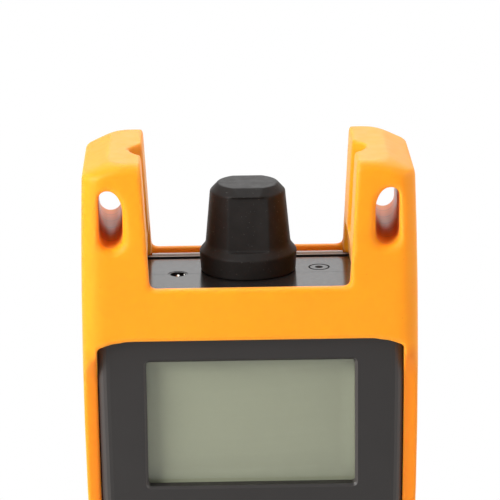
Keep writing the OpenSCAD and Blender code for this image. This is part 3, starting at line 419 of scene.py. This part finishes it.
def moulded_cap_rubber(look):
    """Matt black moulded rubber with a dusty skin and a few pale specks of lint."""
    material, tree, bsdf = start_material(
        "moulded_black_rubber", IOR=1.5, Specular_IOR_Level=0.12, Sheen_Weight=0.01,
        Sheen_Roughness=0.5, Sheen_Tint=linear("#d8d4d0")
    )
    lint = between(tree, noise_of(tree, 0.25, 1.0), *LINT)
    skin = mixed(tree, lint, mottled(tree, look.colour, 3.0, 0.15), linear("#8c8a86"))
    feed(tree, bsdf, Base_Color=skin, Roughness=wandering(tree, 2, 0.44, 0.54))
    give_grain(tree, bsdf, 0.3, 0.008 * MM)
    return material


# How far a plain finish's roughness wanders, its least roughness, and its grain's width
# over its depth
PLAIN_SPREAD = 0.04
LEAST_ROUGHNESS = 0.02
GRAIN_FLATNESS = 50


def plain_finish(name, code, roughness, size_mm=2.0, grain_mm=0.0, spread=0.04, **shader):
    """A moulded, plated or coated surface: its colour and gloss wander a little, with a grain
    where it has one."""
    material, tree, bsdf = start_material(name, **shader)
    low = max(roughness - PLAIN_SPREAD, LEAST_ROUGHNESS)
    feed(
        tree, bsdf, Base_Color=mottled(tree, linear(code), size_mm, spread),
        Roughness=wandering(tree, size_mm, low, roughness + PLAIN_SPREAD)
    )
    if grain_mm:
        give_grain(tree, bsdf, grain_mm, grain_mm / GRAIN_FLATNESS * MM)
    return material


def turned_metal(name, code, roughness, ring_mm, node):
    """Turned and plated metal: fine rings round the piece's axis, left by the tool."""
    material, tree, bsdf = start_material(name, Metallic=1.0, Base_Color=linear(code))
    axis = middle(node)
    rings = add_node(tree, "TexWave", {
        "Vector": vector_maths(tree, "SUBTRACT", place_of(tree), (axis.x, axis.y, 0)),
        "Scale": math.tau / WAVE_TURN / (ring_mm * MM), "Distortion": 0.4
    }, wave_type="RINGS", rings_direction="Z").outputs["Fac"]
    feed(tree, bsdf, Roughness=between(tree, rings, 0.0, 1.0, roughness - 0.05, roughness + 0.05))
    return material


def solder_mask():
    """Green solder mask over glass laminate: tracks show through as a slightly lighter pattern."""
    material, tree, bsdf = start_material("green_solder_mask", IOR=1.5, Roughness=0.28)
    cells = add_node(tree, "TexVoronoi", {
        "Vector": place_of(tree), "Scale": 1 / (3.2 * MM), "Randomness": 0.65
    }, feature="DISTANCE_TO_EDGE", distance="EUCLIDEAN").outputs["Distance"]
    tracks = between(tree, cells, 0.05, 0.07, 1.0, 0.0)
    feed(tree, bsdf, Base_Color=mixed(tree, tracks, linear("#0d4a2a"), linear("#1f6b40")))
    return material


# A cell's sleeve: where its pale band starts, as a share of the cell, and in mm the band's half
# height, the bare ends and the bare nose, the last two as spans over which the steel fades in
BAND_SHARE = 0.7
BAND_HALF = 2.5
CELL_END = (1.15, 1.25)
CELL_NOSE_R = (2.9, 3.1)


def shrink_sleeve(look, node):
    """A cell: a printed shrink sleeve with one pale band, and bright plated steel at both ends."""
    material, tree, bsdf = start_material("printed_shrink_sleeve_" + node, IOR=1.5)
    low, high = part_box(node)
    height = axes_of(tree)["Z"]
    band_z = low.z + (high.z - low.z) * BAND_SHARE + BAND_HALF * MM
    band = maths(tree, "COMPARE", height, band_z, BAND_HALF * MM)
    printed = mixed(tree, band, tuple(look.sleeve), linear("#c9ccd0"))
    flat_end = between(tree, maths(tree, "ABSOLUTE", facing_of(tree)["Z"]), 0.7, 0.8)
    near, far = (step * MM for step in CELL_END)
    ends = maths(
        tree, "MAXIMUM", between(tree, height, low.z + near, low.z + far, 1.0, 0.0),
        between(tree, height, high.z - far, high.z - near)
    )
    offset = vector_maths(tree, "SUBTRACT", place_of(tree), tuple(middle(node)))
    radius = vector_maths(tree, "LENGTH", vector_maths(tree, "MULTIPLY", offset, (1, 1, 0)))
    nose = between(tree, radius, *(r * MM for r in CELL_NOSE_R), 1.0, 0.0)
    metal = maths(tree, "MAXIMUM", flat_end, maths(tree, "MULTIPLY", ends, nose))
    feed(
        tree, bsdf, Base_Color=mixed(tree, metal, printed, linear("#c8c6c0")), Metallic=metal,
        Roughness=wandering(tree, 4, 0.24, 0.34)
    )
    return material


def printed_ink(name, code):
    """Pad printed ink: a thin matt film."""
    return plain_finish(name, code, 0.55, size_mm=1.0, spread=0.03, IOR=1.45)


def dress(node, material):
    """Gives a CAD node its finish, through its object's own slots."""
    for slot in NODES[node].material_slots:
        slot.link = "OBJECT"
        slot.material = material


# Shapes


# How near two corners of a CAD mesh lie that are one corner, in mm
WELD_REACH = 0.002


def new_piece(name, points, faces, material, body, smooth=True):
    """A mesh piece with its finish, which moves with a CAD body."""
    mesh = bpy.data.meshes.new(name)
    mesh.from_pydata(points, [], faces)
    mesh.update()
    piece = bpy.data.objects.new(name, mesh)
    bpy.context.scene.collection.objects.link(piece)
    mesh.materials.append(material)
    mesh.polygons.foreach_set("use_smooth", [smooth] * len(mesh.polygons))
    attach(piece, body)
    return piece


def softened(name, node, voxel, rounds, share, material, body):
    """A CAD node's form with every edge softened, as a mould leaves it, in place of the node."""
    piece = bpy.data.objects.new(name, NODES[node].data.copy())
    piece.data.name = name
    bpy.context.scene.collection.objects.link(piece)
    piece.data.materials.clear()
    weld = piece.modifiers.new("weld", "WELD")
    weld.merge_threshold = WELD_REACH * MM
    remesh = piece.modifiers.new("remesh", "REMESH")
    remesh.mode = "VOXEL"
    remesh.voxel_size = voxel
    soften = piece.modifiers.new("soften", "SMOOTH")
    soften.factor = 0.5
    soften.iterations = rounds
    thin = piece.modifiers.new("thin", "DECIMATE")
    thin.ratio = share
    depsgraph = bpy.context.evaluated_depsgraph_get()
    mesh = bpy.data.meshes.new_from_object(piece.evaluated_get(depsgraph))
    piece.modifiers.clear()
    piece.data = mesh
    mesh.name = name
    mesh.materials.clear()
    mesh.materials.append(material)
    mesh.polygons.foreach_set("use_smooth", [True] * len(mesh.polygons))
    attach(piece, body)
    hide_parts(node)
    return piece


def stadium(width, height, steps=20):
    """Points round a bar with round ends, or round a circle where it is as wide as high."""
    radius = height / 2
    shift = max(width / 2 - radius, 0)
    points = []
    for side, start in ((1, -90), (-1, 90)):
        for i in range(steps + 1):
            turn = math.radians(start + 180 * i / steps)
            points.append((side * shift + radius * math.cos(turn), radius * math.sin(turn)))
    return points


def lofted(loops):
    """Points and faces of a solid through loops of points, closed at both ends."""
    count = len(loops[0])
    points = [p for loop in loops for p in loop]
    faces = [list(range(count))[::-1], list(range(len(points) - count, len(points)))]
    for row in range(len(loops) - 1):
        near, far = row * count, (row + 1) * count
        for i in range(count):
            j = (i + 1) % count
            faces.append([near + i, near + j, far + j, far + i])
    return points, faces


def ribbon(path, width, back, front, closed=False):
    """Points and faces of a flat line of that width along a path of (x, z) points."""
    count = len(path)
    half = width / 2
    points = []
    for i, (x, z) in enumerate(path):
        before = path[i - 1] if i or closed else path[i]
        after = path[(i + 1) % count] if i < count - 1 or closed else path[i]
        run = Vector((after[0] - before[0], after[1] - before[1])).normalized()
        left = (x - run.y * half, z + run.x * half)
        right = (x + run.y * half, z - run.x * half)
        points += [
            (side[0], level, side[1])
            for side, level in ((left, front), (right, front), (right, back), (left, back))
        ]
    faces = []
    for i in range(count if closed else count - 1):
        a, b = 4 * i, 4 * ((i + 1) % count)
        faces += [[a + k, a + (k + 1) % 4, b + (k + 1) % 4, b + k] for k in range(4)]
    if not closed:
        faces += [[3, 2, 1, 0], [4 * count - 4 + k for k in range(4)]]
    return points, faces


def arc(x, z, radius, start=0.0, end=360.0, steps=32):
    """Points along an arc, its turns in degrees."""
    turns = [math.radians(start + (end - start) * i / steps) for i in range(steps + 1)]
    return [(x + radius * math.cos(t), z + radius * math.sin(t)) for t in turns]


def ring(x, z, radius):
    """Points round a circle, each one once."""
    return arc(x, z, radius)[:-1]


def joined(parts):
    """One list of points and one of faces from several."""
    points, faces = [], []
    for part_points, part_faces in parts:
        shift = len(points)
        points += part_points
        faces += [[index + shift for index in face] for face in part_faces]
    return points, faces


# Boot


class BootLook(bpy.types.PropertyGroup):
    """Sizes and colours of the rubber boot."""

    colour: colour_property("Rubber", "Colour of the moulded rubber", "#ff9a10")
    # Painted shade on the rails beside the housing
    rail_shade_colour: colour_property(
        "Thin rubber", "Colour of the rails, thin over the dark shell", "#de7710"
    )
    # Painted highlight on the convex edges, partly wear as well
    edge_highlight_colour: colour_property(
        "Rubbed rubber", "Colour of the edges that hands have rubbed pale", "#ffb65c"
    )
    highlight_and_wear: share_property("Wear", "Share of the rubbed colour on the edges", 0.5)
    grain: length_property("Grain", "Width of the moulded grain", 0.5)
    bleed: length_property("Bleed", "How far light travels in the rubber", 2.4)
    core_step: length_property(
        "Core step", "Distance between the fine lines inside the slots", 6
    )
    core_roughness: share_property(
        "Slot roughness", "Roughness of the walls of the slots", 0.28
    )
    voxel: length_property("Detail", "Size of the smallest feature kept on the skin", 0.5)


class LIGHTSOURCE_OT_boot(bpy.types.Operator):
    """Builds the moulded rubber boot with softened edges"""

    bl_idname = "lightsource.boot"
    bl_label = "Rubber boot"

    def execute(self, context):
        look = context.scene.lightsource_boot
        softened(
            "boot_skin", "rubber_boot", look.voxel, rounds=12, share=0.3,
            material=moulded_orange_rubber(look), body="base"
        )
        return {"FINISHED"}


# Housing


class HousingLook(bpy.types.PropertyGroup):
    """Colours and gloss of the shells and the battery door."""

    colour: colour_property("Plastic", "Colour of the shells", "#242120")
    # Painted highlight on the rounded sides
    edge_highlight_colour: colour_property(
        "Worn sides", "Colour of the rounded sides where the boot rubs", "#413d3b"
    )
    # Painted highlight on the bead behind the groove
    bead_highlight_colour: colour_property(
        "Rubbed bead", "Colour of the bead where it is rubbed", "#bdb8b3"
    )
    wall_roughness: share_property("Wall roughness", "Roughness of the textured walls", 0.42)
    panel_roughness: share_property(
        "Panel roughness", "Roughness of the smooth top panel", 0.16
    )
    panel_film: share_property("Panel polish", "Share of the panel's smooth outer film", 0.4)
    grain_depth: length_property("Grain depth", "Depth of the spark texture", 0.004)
    mark_width: length_property("Mark line", "Width of the ring etched in the panel", 0.4)


# The sign beside the port, in mm: its place, its ring, its dot's line and how far it stands up
SIGN_PLACE = (17.2, 4.4)
SIGN_RING_R = 2.4
DOT_R = 0.5
DOT_LINE = 0.9
SIGN_RISE = 0.03


class LIGHTSOURCE_OT_housing(bpy.types.Operator):
    """Finishes the shells and the battery door, and etches the port's sign in the panel"""

    bl_idname = "lightsource.housing"
    bl_label = "Housing"

    def execute(self, context):
        look = context.scene.lightsource_housing
        plastic = textured_abs(look)
        for node in ("front_housing", "rear_housing", "battery_door"):
            dress(node, plastic)
        self.etch_sign(look)
        return {"FINISHED"}

    def etch_sign(self, look):
        """A ring with a dot, the plain sign of a fibre end, beside the port."""
        x, y = (place * MM for place in SIGN_PLACE)
        points, faces = joined([
            ribbon(ring(x, y, radius * MM), width, 0.0, SIGN_RISE * MM, closed=True)
            for radius, width in ((SIGN_RING_R, look.mark_width), (DOT_R, DOT_LINE * MM))
        ])
        flat = [(px, pz, PANEL_Z + py) for px, py, pz in points]
        etched = plain_finish(
            "laser_etched_abs", "#0f0e0e", 0.8, size_mm=1.0, IOR=1.5, Specular_IOR_Level=0.1
        )
        new_piece("panel_sign", flat, [face[::-1] for face in faces], etched, "base",
                  smooth=False)


# Display


class DisplayLook(bpy.types.PropertyGroup):
    """Colour and dust of the display."""

    colour: colour_property("Film", "Colour of the blank display", "#8b8e78")
    dust: length_property("Dust", "Width of a speck of dust", 0.3)


class LIGHTSOURCE_OT_display(bpy.types.Operator):
    """Finishes the window, the display glass and what holds it"""

    bl_idname = "lightsource.display"
    bl_label = "Display"

    def execute(self, context):
        look = context.scene.lightsource_display
        dress("display_lens", clear_acrylic())
        dress("lcd_panel", reflective_lcd(look))
        dress("lcd_backlight", plain_finish("moulded_white_light_guide", "#eeeeea", 0.2, size_mm=4))
        dress("lcd_holder", plain_finish("moulded_black_nylon", "#262626", 0.5, grain_mm=0.4))
        dress("elastomer_strips", plain_finish(
            "layered_silicone_strip", "#d98a92", 0.5, size_mm=0.6, spread=0.12
        ))
        return {"FINISHED"}


# Keys


class KeyLook(bpy.types.PropertyGroup):
    """Sizes and colours of the keys."""

    colour: colour_property("Keys", "Colour of the four oval keys", "#bfc1c3")
    power_colour: colour_property("Power key", "Colour of the round key", "#b32b1f")
    mark_width: length_property("Mark line", "Width of a printed line on a key", 0.5)


# A key, in metres: its flange's lip, how far that lies behind the housing's front and how thick
# it is, its plunger's radius, and how far the ink stands up from the crown and reaches into it
KEY_LIP = 0.9 * MM
KEY_LIP_BACK = 2.02 * MM
KEY_LIP_T = 0.8 * MM
PLUNGER_R = 2.0 * MM
INK_TOP = 0.04 * MM
INK_ROOT = 0.02 * MM

# The crown as insets and drops: first the insets as shares of the key's height with drops in mm,
# then both in mm
CROWN_SHARES = ((0.28, 0.0), (0.2, 0.03), (0.12, 0.09), (0.06, 0.17))
SHOULDER = ((0.25, 0.28), (0.1, 0.4), (0.02, 0.56), (0.0, 0.75))

# The angle between two faces from which an edge of a key looks sharp, in degrees
SHARP_FROM = 50


def key_loops(width, height, front, back):
    """Loops of a key's cap: a broad soft crown, round shoulders and straight sides."""
    crown = [(height * share, drop) for share, drop in CROWN_SHARES]
    crown += [(inset * MM, drop) for inset, drop in SHOULDER]
    loops = []
    for inset, drop in crown:
        outline = stadium(width - 2 * inset, height - 2 * inset)
        loops.append([(x, front + drop * MM, z) for x, z in outline])
    loops.append([(x, back, z) for x, z in stadium(width, height)])
    return loops


def key_marks():
    """The sign on each key, as printed lines of (path, closed) about its middle."""
    half, steps = 3.5 * MM, 28
    wave = [
        (half * (2 * i / steps - 1), 1.3 * MM * math.sin(2 * math.tau * i / steps))
        for i in range(steps + 1)
    ]
    bars, top = 5, 1.1 * MM
    step = 2 * half / bars
    pulses = [(-half, -top)]
    for i in range(bars):
        x = i * step - half
        level = top if i % 2 == 0 else -top
        pulses += [(x, level), (x + step, level)]
    pulses.append((half, -top))
    rays, near, far = 8, 1.7 * MM, 2.6 * MM
    sun = [(ring(0, 0, 1.0 * MM), True)]
    for i in range(rays):
        turn = math.tau * i / rays
        sun.append(([(reach * math.cos(turn), reach * math.sin(turn)) for reach in (near, far)],
                    False))
    beam = [(ring(-2.6 * MM, 0, 0.7 * MM), True)]
    for slope in (-1, 0, 1):
        beam.append(([(-1.0 * MM, 0.5 * MM * slope), (2.8 * MM, 1.9 * MM * slope)], False))
    power = [(arc(0, 0, 2.6 * MM, 120, 420), False), ([(0, 1.2 * MM), (0, 3.4 * MM)], False)]
    return {
        "key_wavelength": [(wave, False)], "key_modulation": [(pulses, False)],
        "key_backlight": sun, "key_visible": beam, "key_power": power,
    }


class LIGHTSOURCE_OT_keys(bpy.types.Operator):
    """Builds the five key caps with soft crowns and prints a plain sign on each"""

    bl_idname = "lightsource.keys"
    bl_label = "Keys"

    def execute(self, context):
        look = context.scene.lightsource_keys
        grey = self.plastic("satin_grey_key_plastic", look.colour)
        red = self.plastic("satin_red_key_plastic", look.power_colour)
        dark = printed_ink("pad_printed_dark_ink", "#2a2a2c")
        pale = printed_ink("pad_printed_white_ink", "#f0efec")
        for node, marks in key_marks().items():
            is_power = node == "key_power"
            self.cap(node, *((red, "power_key_plastic") if is_power else (grey, "key_plastic")))
            self.marks(node, marks, look.mark_width, pale if is_power else dark)
        dress("keypad_mat", plain_finish("moulded_grey_silicone", "#8a8a8c", 0.55, grain_mm=0.5))
        dress("switch_domes", plain_finish("gold_plated_dome", "#d9b36a", 0.25, Metallic=1.0))
        return {"FINISHED"}

    def plastic(self, name, colour):
        """Satin moulded plastic with a fine grain, even in colour."""
        material, tree, bsdf = start_material(name, IOR=1.46)
        feed(
            tree, bsdf, Base_Color=mottled(tree, colour, 4, 0.02),
            Roughness=wandering(tree, 1.5, 0.36, 0.44)
        )
        give_grain(tree, bsdf, 0.35, 0.004 * MM)
        return material

    def cap(self, node, material, slot):
        """The cap, its flange and its plunger, in the CAD key's place."""
        low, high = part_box(node)
        centre = middle(node)
        width, height = high.x - low.x - 2 * KEY_LIP, high.z - low.z - 2 * KEY_LIP
        lip_front = HOUSE_FRONT + KEY_LIP_BACK
        lip_back = lip_front + KEY_LIP_T
        cap = lofted(key_loops(width, height, low.y, lip_front))
        flange = lofted([
            [(x, y, z) for x, z in stadium(width + 2 * KEY_LIP, height + 2 * KEY_LIP)]
            for y in (lip_front, lip_back)
        ])
        plunger = lofted([
            [(x, y, z) for x, z in stadium(2 * PLUNGER_R, 2 * PLUNGER_R)]
            for y in (lip_back, high.y)
        ])
        points, faces = joined([cap, flange, plunger])
        placed = [(x + centre.x, y, z + centre.z) for x, y, z in points]
        piece = new_piece(node + "_cap", placed, faces, material, node + "_body")
        piece.data.set_sharp_from_angle(angle=math.radians(SHARP_FROM))
        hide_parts(node)

    def marks(self, node, marks, width, ink):
        """The printed lines on the cap's crown."""
        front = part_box(node)[0].y
        centre = middle(node)
        points, faces = joined([
            ribbon(path, width, front + INK_ROOT, front - INK_TOP, closed)
            for path, closed in marks
        ])
        placed = [(x + centre.x, y, z + centre.z) for x, y, z in points]
        new_piece(node + "_mark", placed, faces, ink, node + "_body", smooth=False)


# Board


class LIGHTSOURCE_OT_board(bpy.types.Operator):
    """Finishes the circuit board and the parts on it"""

    bl_idname = "lightsource.board"
    bl_label = "Circuit board"

    def execute(self, context):
        dress("main_pcb", solder_mask())
        dress("circuit_components", plain_finish(
            "moulded_epoxy_package", "#2b2b2d", 0.5, grain_mm=0.2
        ))
        return {"FINISHED"}


# Optical port and block


class PortLook(bpy.types.PropertyGroup):
    """Sizes of the port's thread."""

    pitch: length_property("Pitch", "Pitch of the port's thread", 0.75)
    ridge: length_property("Ridge", "Height of the thread over the barrel", 0.18)


# The threaded barrel, in metres: its radius, half the width of its key slot, where the thread
# starts above the panel and ends below the barrel's top, and how deep its root is sunk
BARREL_R = 4.0 * MM
KEY_SLOT_HALF = 1.15 * MM
THREAD_START = 2.6 * MM
THREAD_END = 0.5 * MM
THREAD_SUNK = 0.05 * MM
# Half the thread's width at its root and at its crest, as shares of its pitch
ROOT_SHARE = 0.34
CREST_SHARE = 0.1
# Sections in one turn of the thread
THREAD_STEPS = 40


class LIGHTSOURCE_OT_port(bpy.types.Operator):
    """Finishes the optical port, its sleeve and the laser block, and cuts the port's thread"""

    bl_idname = "lightsource.port"
    bl_label = "Optical port"

    def execute(self, context):
        look = context.scene.lightsource_port
        nickel = turned_metal(
            "nickel_plated_turned_brass", "#c9c6bd", 0.24, ring_mm=0.754, node="port_adapter"
        )
        dress("port_adapter", nickel)
        ceramic = plain_finish(
            "polished_zirconia", "#f3f1ea", 0.12, size_mm=3, spread=0.01, IOR=2.1
        )
        dress("ceramic_sleeve", ceramic)
        dress("ferrule_stub", ceramic)
        dress("optical_block", plain_finish(
            "machined_aluminium", "#c4c5c8", 0.34, size_mm=0.6, Metallic=1.0
        ))
        gold = plain_finish("gold_plated_can", "#d8b468", 0.22, Metallic=1.0)
        for node in ("laser_diode_short", "laser_diode_long", "laser_diode_visible"):
            dress(node, gold)
        self.thread(look, nickel)
        return {"FINISHED"}

    def thread(self, look, material):
        """A ridge that winds up the barrel and stops at the key slot, turn by turn."""
        slot_half = math.asin(KEY_SLOT_HALF / BARREL_R)
        start, end = slot_half - math.pi / 2, 3 * math.pi / 2 - slot_half
        low = PANEL_Z + THREAD_START
        high = PORT_TOP - THREAD_END
        root, crest = BARREL_R - THREAD_SUNK, BARREL_R + look.ridge
        section = ((root, -ROOT_SHARE), (crest, -CREST_SHARE),
                   (crest, CREST_SHARE), (root, ROOT_SHARE))
        parts = []
        for turn in range(int((high - low) / look.pitch) - 1):
            loops = []
            for i in range(THREAD_STEPS + 1):
                angle = start + (end - start) * i / THREAD_STEPS
                z = low + look.pitch * (turn + (angle - start) / math.tau)
                loops.append([
                    (r * math.cos(angle), PORT_Y + r * math.sin(angle), z + look.pitch * share)
                    for r, share in section
                ])
            parts.append(lofted(loops))
        points, faces = joined(parts)
        new_piece("port_thread", points, faces, material, "base", smooth=False)


# Dust cap


class CapLook(bpy.types.PropertyGroup):
    """Size and colour of the dust cap's skin."""

    colour: colour_property("Rubber", "Colour of the cap's rubber", "#211f1e")
    voxel: length_property("Detail", "Size of the smallest feature kept on the cap", 0.22)


class LIGHTSOURCE_OT_cap(bpy.types.Operator):
    """Builds the moulded dust cap with softened edges"""

    bl_idname = "lightsource.cap"
    bl_label = "Dust cap"

    def execute(self, context):
        look = context.scene.lightsource_cap
        softened(
            "dust_cap_skin", "dust_cap", look.voxel, rounds=5, share=0.35,
            material=moulded_cap_rubber(look), body="dust_cap_body"
        )
        return {"FINISHED"}


# Power inlet


class LIGHTSOURCE_OT_inlet(bpy.types.Operator):
    """Finishes the power inlet, its pin and its leaf"""

    bl_idname = "lightsource.inlet"
    bl_label = "Power inlet"

    def execute(self, context):
        dress("dc_jack_body", plain_finish("moulded_inlet_nylon", "#1b1b1c", 0.28, grain_mm=0.3))
        bright = plain_finish("nickel_plated_spring_metal", "#d5d2c8", 0.2, Metallic=1.0)
        dress("dc_jack_pin", bright)
        dress("dc_jack_contact", bright)
        return {"FINISHED"}


# Battery


class BatteryLook(bpy.types.PropertyGroup):
    """Colour of the cells."""

    sleeve: colour_property("Sleeve", "Colour of the cells' sleeves", "#2a5f9e")


class LIGHTSOURCE_OT_battery(bpy.types.Operator):
    """Finishes the cells and their contacts"""

    bl_idname = "lightsource.battery"
    bl_label = "Battery"

    def execute(self, context):
        look = context.scene.lightsource_battery
        for node in ("battery_cell_a", "battery_cell_b", "battery_cell_c"):
            dress(node, shrink_sleeve(look, node))
        bright = plain_finish("nickel_plated_contact", "#cfccc2", 0.26, Metallic=1.0)
        dress("contact_plates", bright)
        dress("contact_springs", bright)
        return {"FINISHED"}


# Screws


class LIGHTSOURCE_OT_screws(bpy.types.Operator):
    """Finishes the screws"""

    bl_idname = "lightsource.screws"
    bl_label = "Screws"

    def execute(self, context):
        zinc = plain_finish("zinc_plated_steel", "#b5b7ba", 0.3, size_mm=0.8, Metallic=1.0)
        for node in ("housing_screws", "pcb_screws", "port_screws"):
            dress(node, zinc)
        return {"FINISHED"}


# Stage


class StageLook(bpy.types.PropertyGroup):
    """Levels and colours of the studio."""

    floor: colour_property("Floor", "Colour of the pale floor", "#f1f1f0")
    key_power: power_property("Key light", "Power of the light at the left", 3.3)
    top_power: power_property("Top light", "Power of the light overhead", 2.2)
    fill_power: power_property("Fill light", "Power of the soft light at the right", 1.3)
    back_power: power_property("Back light", "Power of the light behind", 3.2)
    ambient: bpy.props.FloatProperty(
        name="Ambient", description="Level of the even light of the room", min=0, default=0.36
    )


# The photograph's camera: its turns in degrees, its distance and aim in millimetres, half its
# view over its distance, and its sensor in millimetres
CAMERA_ELEVATION = 15.637
CAMERA_YAW = 0.879
CAMERA_ROLL = -0.641
CAMERA_DISTANCE = 675.4
CAMERA_AIM = (0.13, -16.5, 153.76)
HALF_VIEW = 0.08709
SENSOR = 36.0

# Each light's place and width, and the point that all of them look at, in metres
LIGHTS = {
    "key": ((-0.38, -0.26, 0.36), 0.3),
    "top": ((0.05, 0.05, 0.9), 0.6),
    "fill": ((0.6, -0.04, 0.28), 0.5),
    "back": ((0.1, 0.65, 0.75), 0.6),
}
LIGHT_AIM = Vector((0, 0, 0.1))

# Half the floor's width, and how far out it turns from lit paper to plain white, in metres
FLOOR_HALF = 6.0
FLOOR_FADE = (0.14, 0.21)


class LIGHTSOURCE_OT_stage(bpy.types.Operator):
    """Lays the floor and sets the lights, the room and the camera"""

    bl_idname = "lightsource.stage"
    bl_label = "Studio"

    def execute(self, context):
        look = context.scene.lightsource_stage
        self.floor(look)
        self.room(context.scene, look)
        for name, (place, size) in LIGHTS.items():
            self.lamp(name + "_light", place, getattr(look, name + "_power"), size)
        self.camera(context.scene)
        context.scene.view_settings.view_transform = "Standard"
        return {"FINISHED"}

    def floor(self, look):
        """A wide pale sheet that keeps the shadow near the object, plain white further out."""
        half = FLOOR_HALF
        corners = [(-half, -half, 0), (half, -half, 0), (half, half, 0), (-half, half, 0)]
        mesh = bpy.data.meshes.new("studio_floor")
        mesh.from_pydata(corners, [], [(0, 1, 2, 3)])
        sheet = bpy.data.objects.new("studio_floor", mesh)
        bpy.context.scene.collection.objects.link(sheet)
        material, tree, bsdf = start_material(
            "matt_white_paper", Base_Color=tuple(look.floor), Roughness=0.8
        )
        far = between(tree, vector_maths(tree, "LENGTH", place_of(tree)), *FLOOR_FADE)
        glow = add_node(tree, "Emission", {"Color": (1, 1, 1, 1), "Strength": 1.0})
        show_mixed(tree, maths(tree, "MULTIPLY", self.seen(tree), far), bsdf, glow)
        mesh.materials.append(material)

    def seen(self, tree):
        """1 for the camera and for what mirrors and glass show of the room."""
        rays = add_node(tree, "LightPath").outputs
        first = maths(tree, "MAXIMUM", rays["Is Camera Ray"], rays["Is Glossy Ray"])
        return maths(tree, "MAXIMUM", first, rays["Is Transmission Ray"])

    def room(self, scene, look):
        """White where the room is seen, and an even soft light on everything."""
        world = bpy.data.worlds.new("white_room")
        scene.world = world
        world.use_nodes = True
        tree = world.node_tree
        level = between(tree, self.seen(tree), 0.0, 1.0, look.ambient, 1.0)
        backdrop = tree.nodes["Background"]
        backdrop.inputs["Color"].default_value = (1, 1, 1, 1)
        tree.links.new(level, backdrop.inputs["Strength"])

    def lamp(self, name, place, power, size):
        """A square soft light that looks at the middle of the object."""
        light = bpy.data.lights.new(name, "AREA")
        light.energy = power
        light.size = size
        lamp = bpy.data.objects.new(name, light)
        lamp.location = place
        lamp.rotation_euler = (LIGHT_AIM - Vector(place)).to_track_quat("-Z", "Y").to_euler()
        bpy.context.scene.collection.objects.link(lamp)

    def camera(self, scene):
        """A long lens a little above the object, as in the photograph."""
        rise, yaw, roll = (
            math.radians(turn) for turn in (CAMERA_ELEVATION, CAMERA_YAW, CAMERA_ROLL)
        )
        ahead = Vector((
            math.sin(yaw) * math.cos(rise), math.cos(yaw) * math.cos(rise), -math.sin(rise)
        ))
        level = Vector((math.cos(yaw), -math.sin(yaw), 0))
        upright = level.cross(ahead)
        right = level * math.cos(roll) + upright * math.sin(roll)
        up = upright * math.cos(roll) - level * math.sin(roll)
        data = bpy.data.cameras.new("photo_camera")
        data.sensor_width = SENSOR
        data.lens = SENSOR / 2 / HALF_VIEW
        data.clip_start = 0.01
        camera = bpy.data.objects.new("photo_camera", data)
        turn = Matrix((right, up, -ahead)).transposed()
        place = Vector(CAMERA_AIM) * MM - ahead * CAMERA_DISTANCE * MM
        camera.matrix_world = Matrix.Translation(place) @ turn.to_4x4()
        scene.collection.objects.link(camera)
        scene.camera = camera


LOOKS = {
    "lightsource_boot": BootLook,
    "lightsource_housing": HousingLook,
    "lightsource_display": DisplayLook,
    "lightsource_keys": KeyLook,
    "lightsource_port": PortLook,
    "lightsource_cap": CapLook,
    "lightsource_battery": BatteryLook,
    "lightsource_stage": StageLook,
}
STEPS = (
    LIGHTSOURCE_OT_boot, LIGHTSOURCE_OT_housing, LIGHTSOURCE_OT_display, LIGHTSOURCE_OT_keys,
    LIGHTSOURCE_OT_board, LIGHTSOURCE_OT_port, LIGHTSOURCE_OT_cap, LIGHTSOURCE_OT_inlet,
    LIGHTSOURCE_OT_battery, LIGHTSOURCE_OT_screws, LIGHTSOURCE_OT_stage,
)


class LIGHTSOURCE_PT_sidebar(bpy.types.Panel):
    """Lists the looks and the steps that build them"""

    bl_idname = "LIGHTSOURCE_PT_sidebar"
    bl_label = "Light source"
    bl_space_type = "VIEW_3D"
    bl_region_type = "UI"
    bl_category = "Light source"

    def draw(self, context):
        for step in STEPS:
            box = self.layout.box()
            look = "lightsource_" + step.bl_idname.split(".")[1]
            if look in LOOKS:
                group = getattr(context.scene, look)
                for name in LOOKS[look].__annotations__:
                    box.prop(group, name)
            box.operator(step.bl_idname)


def register():
    for group in LOOKS.values():
        bpy.utils.register_class(group)
    for name, group in LOOKS.items():
        setattr(bpy.types.Scene, name, bpy.props.PointerProperty(type=group))
    for step in STEPS:
        bpy.utils.register_class(step)
    bpy.utils.register_class(LIGHTSOURCE_PT_sidebar)


def unregister():
    bpy.utils.unregister_class(LIGHTSOURCE_PT_sidebar)
    for step in reversed(STEPS):
        bpy.utils.unregister_class(step)
    for name, group in LOOKS.items():
        delattr(bpy.types.Scene, name)
        bpy.utils.unregister_class(group)


def main():
    """Builds every piece in order."""
    register()
    for step in STEPS:
        getattr(bpy.ops.lightsource, step.bl_idname.split(".")[1])()


if __name__ == "__main__":
    main()
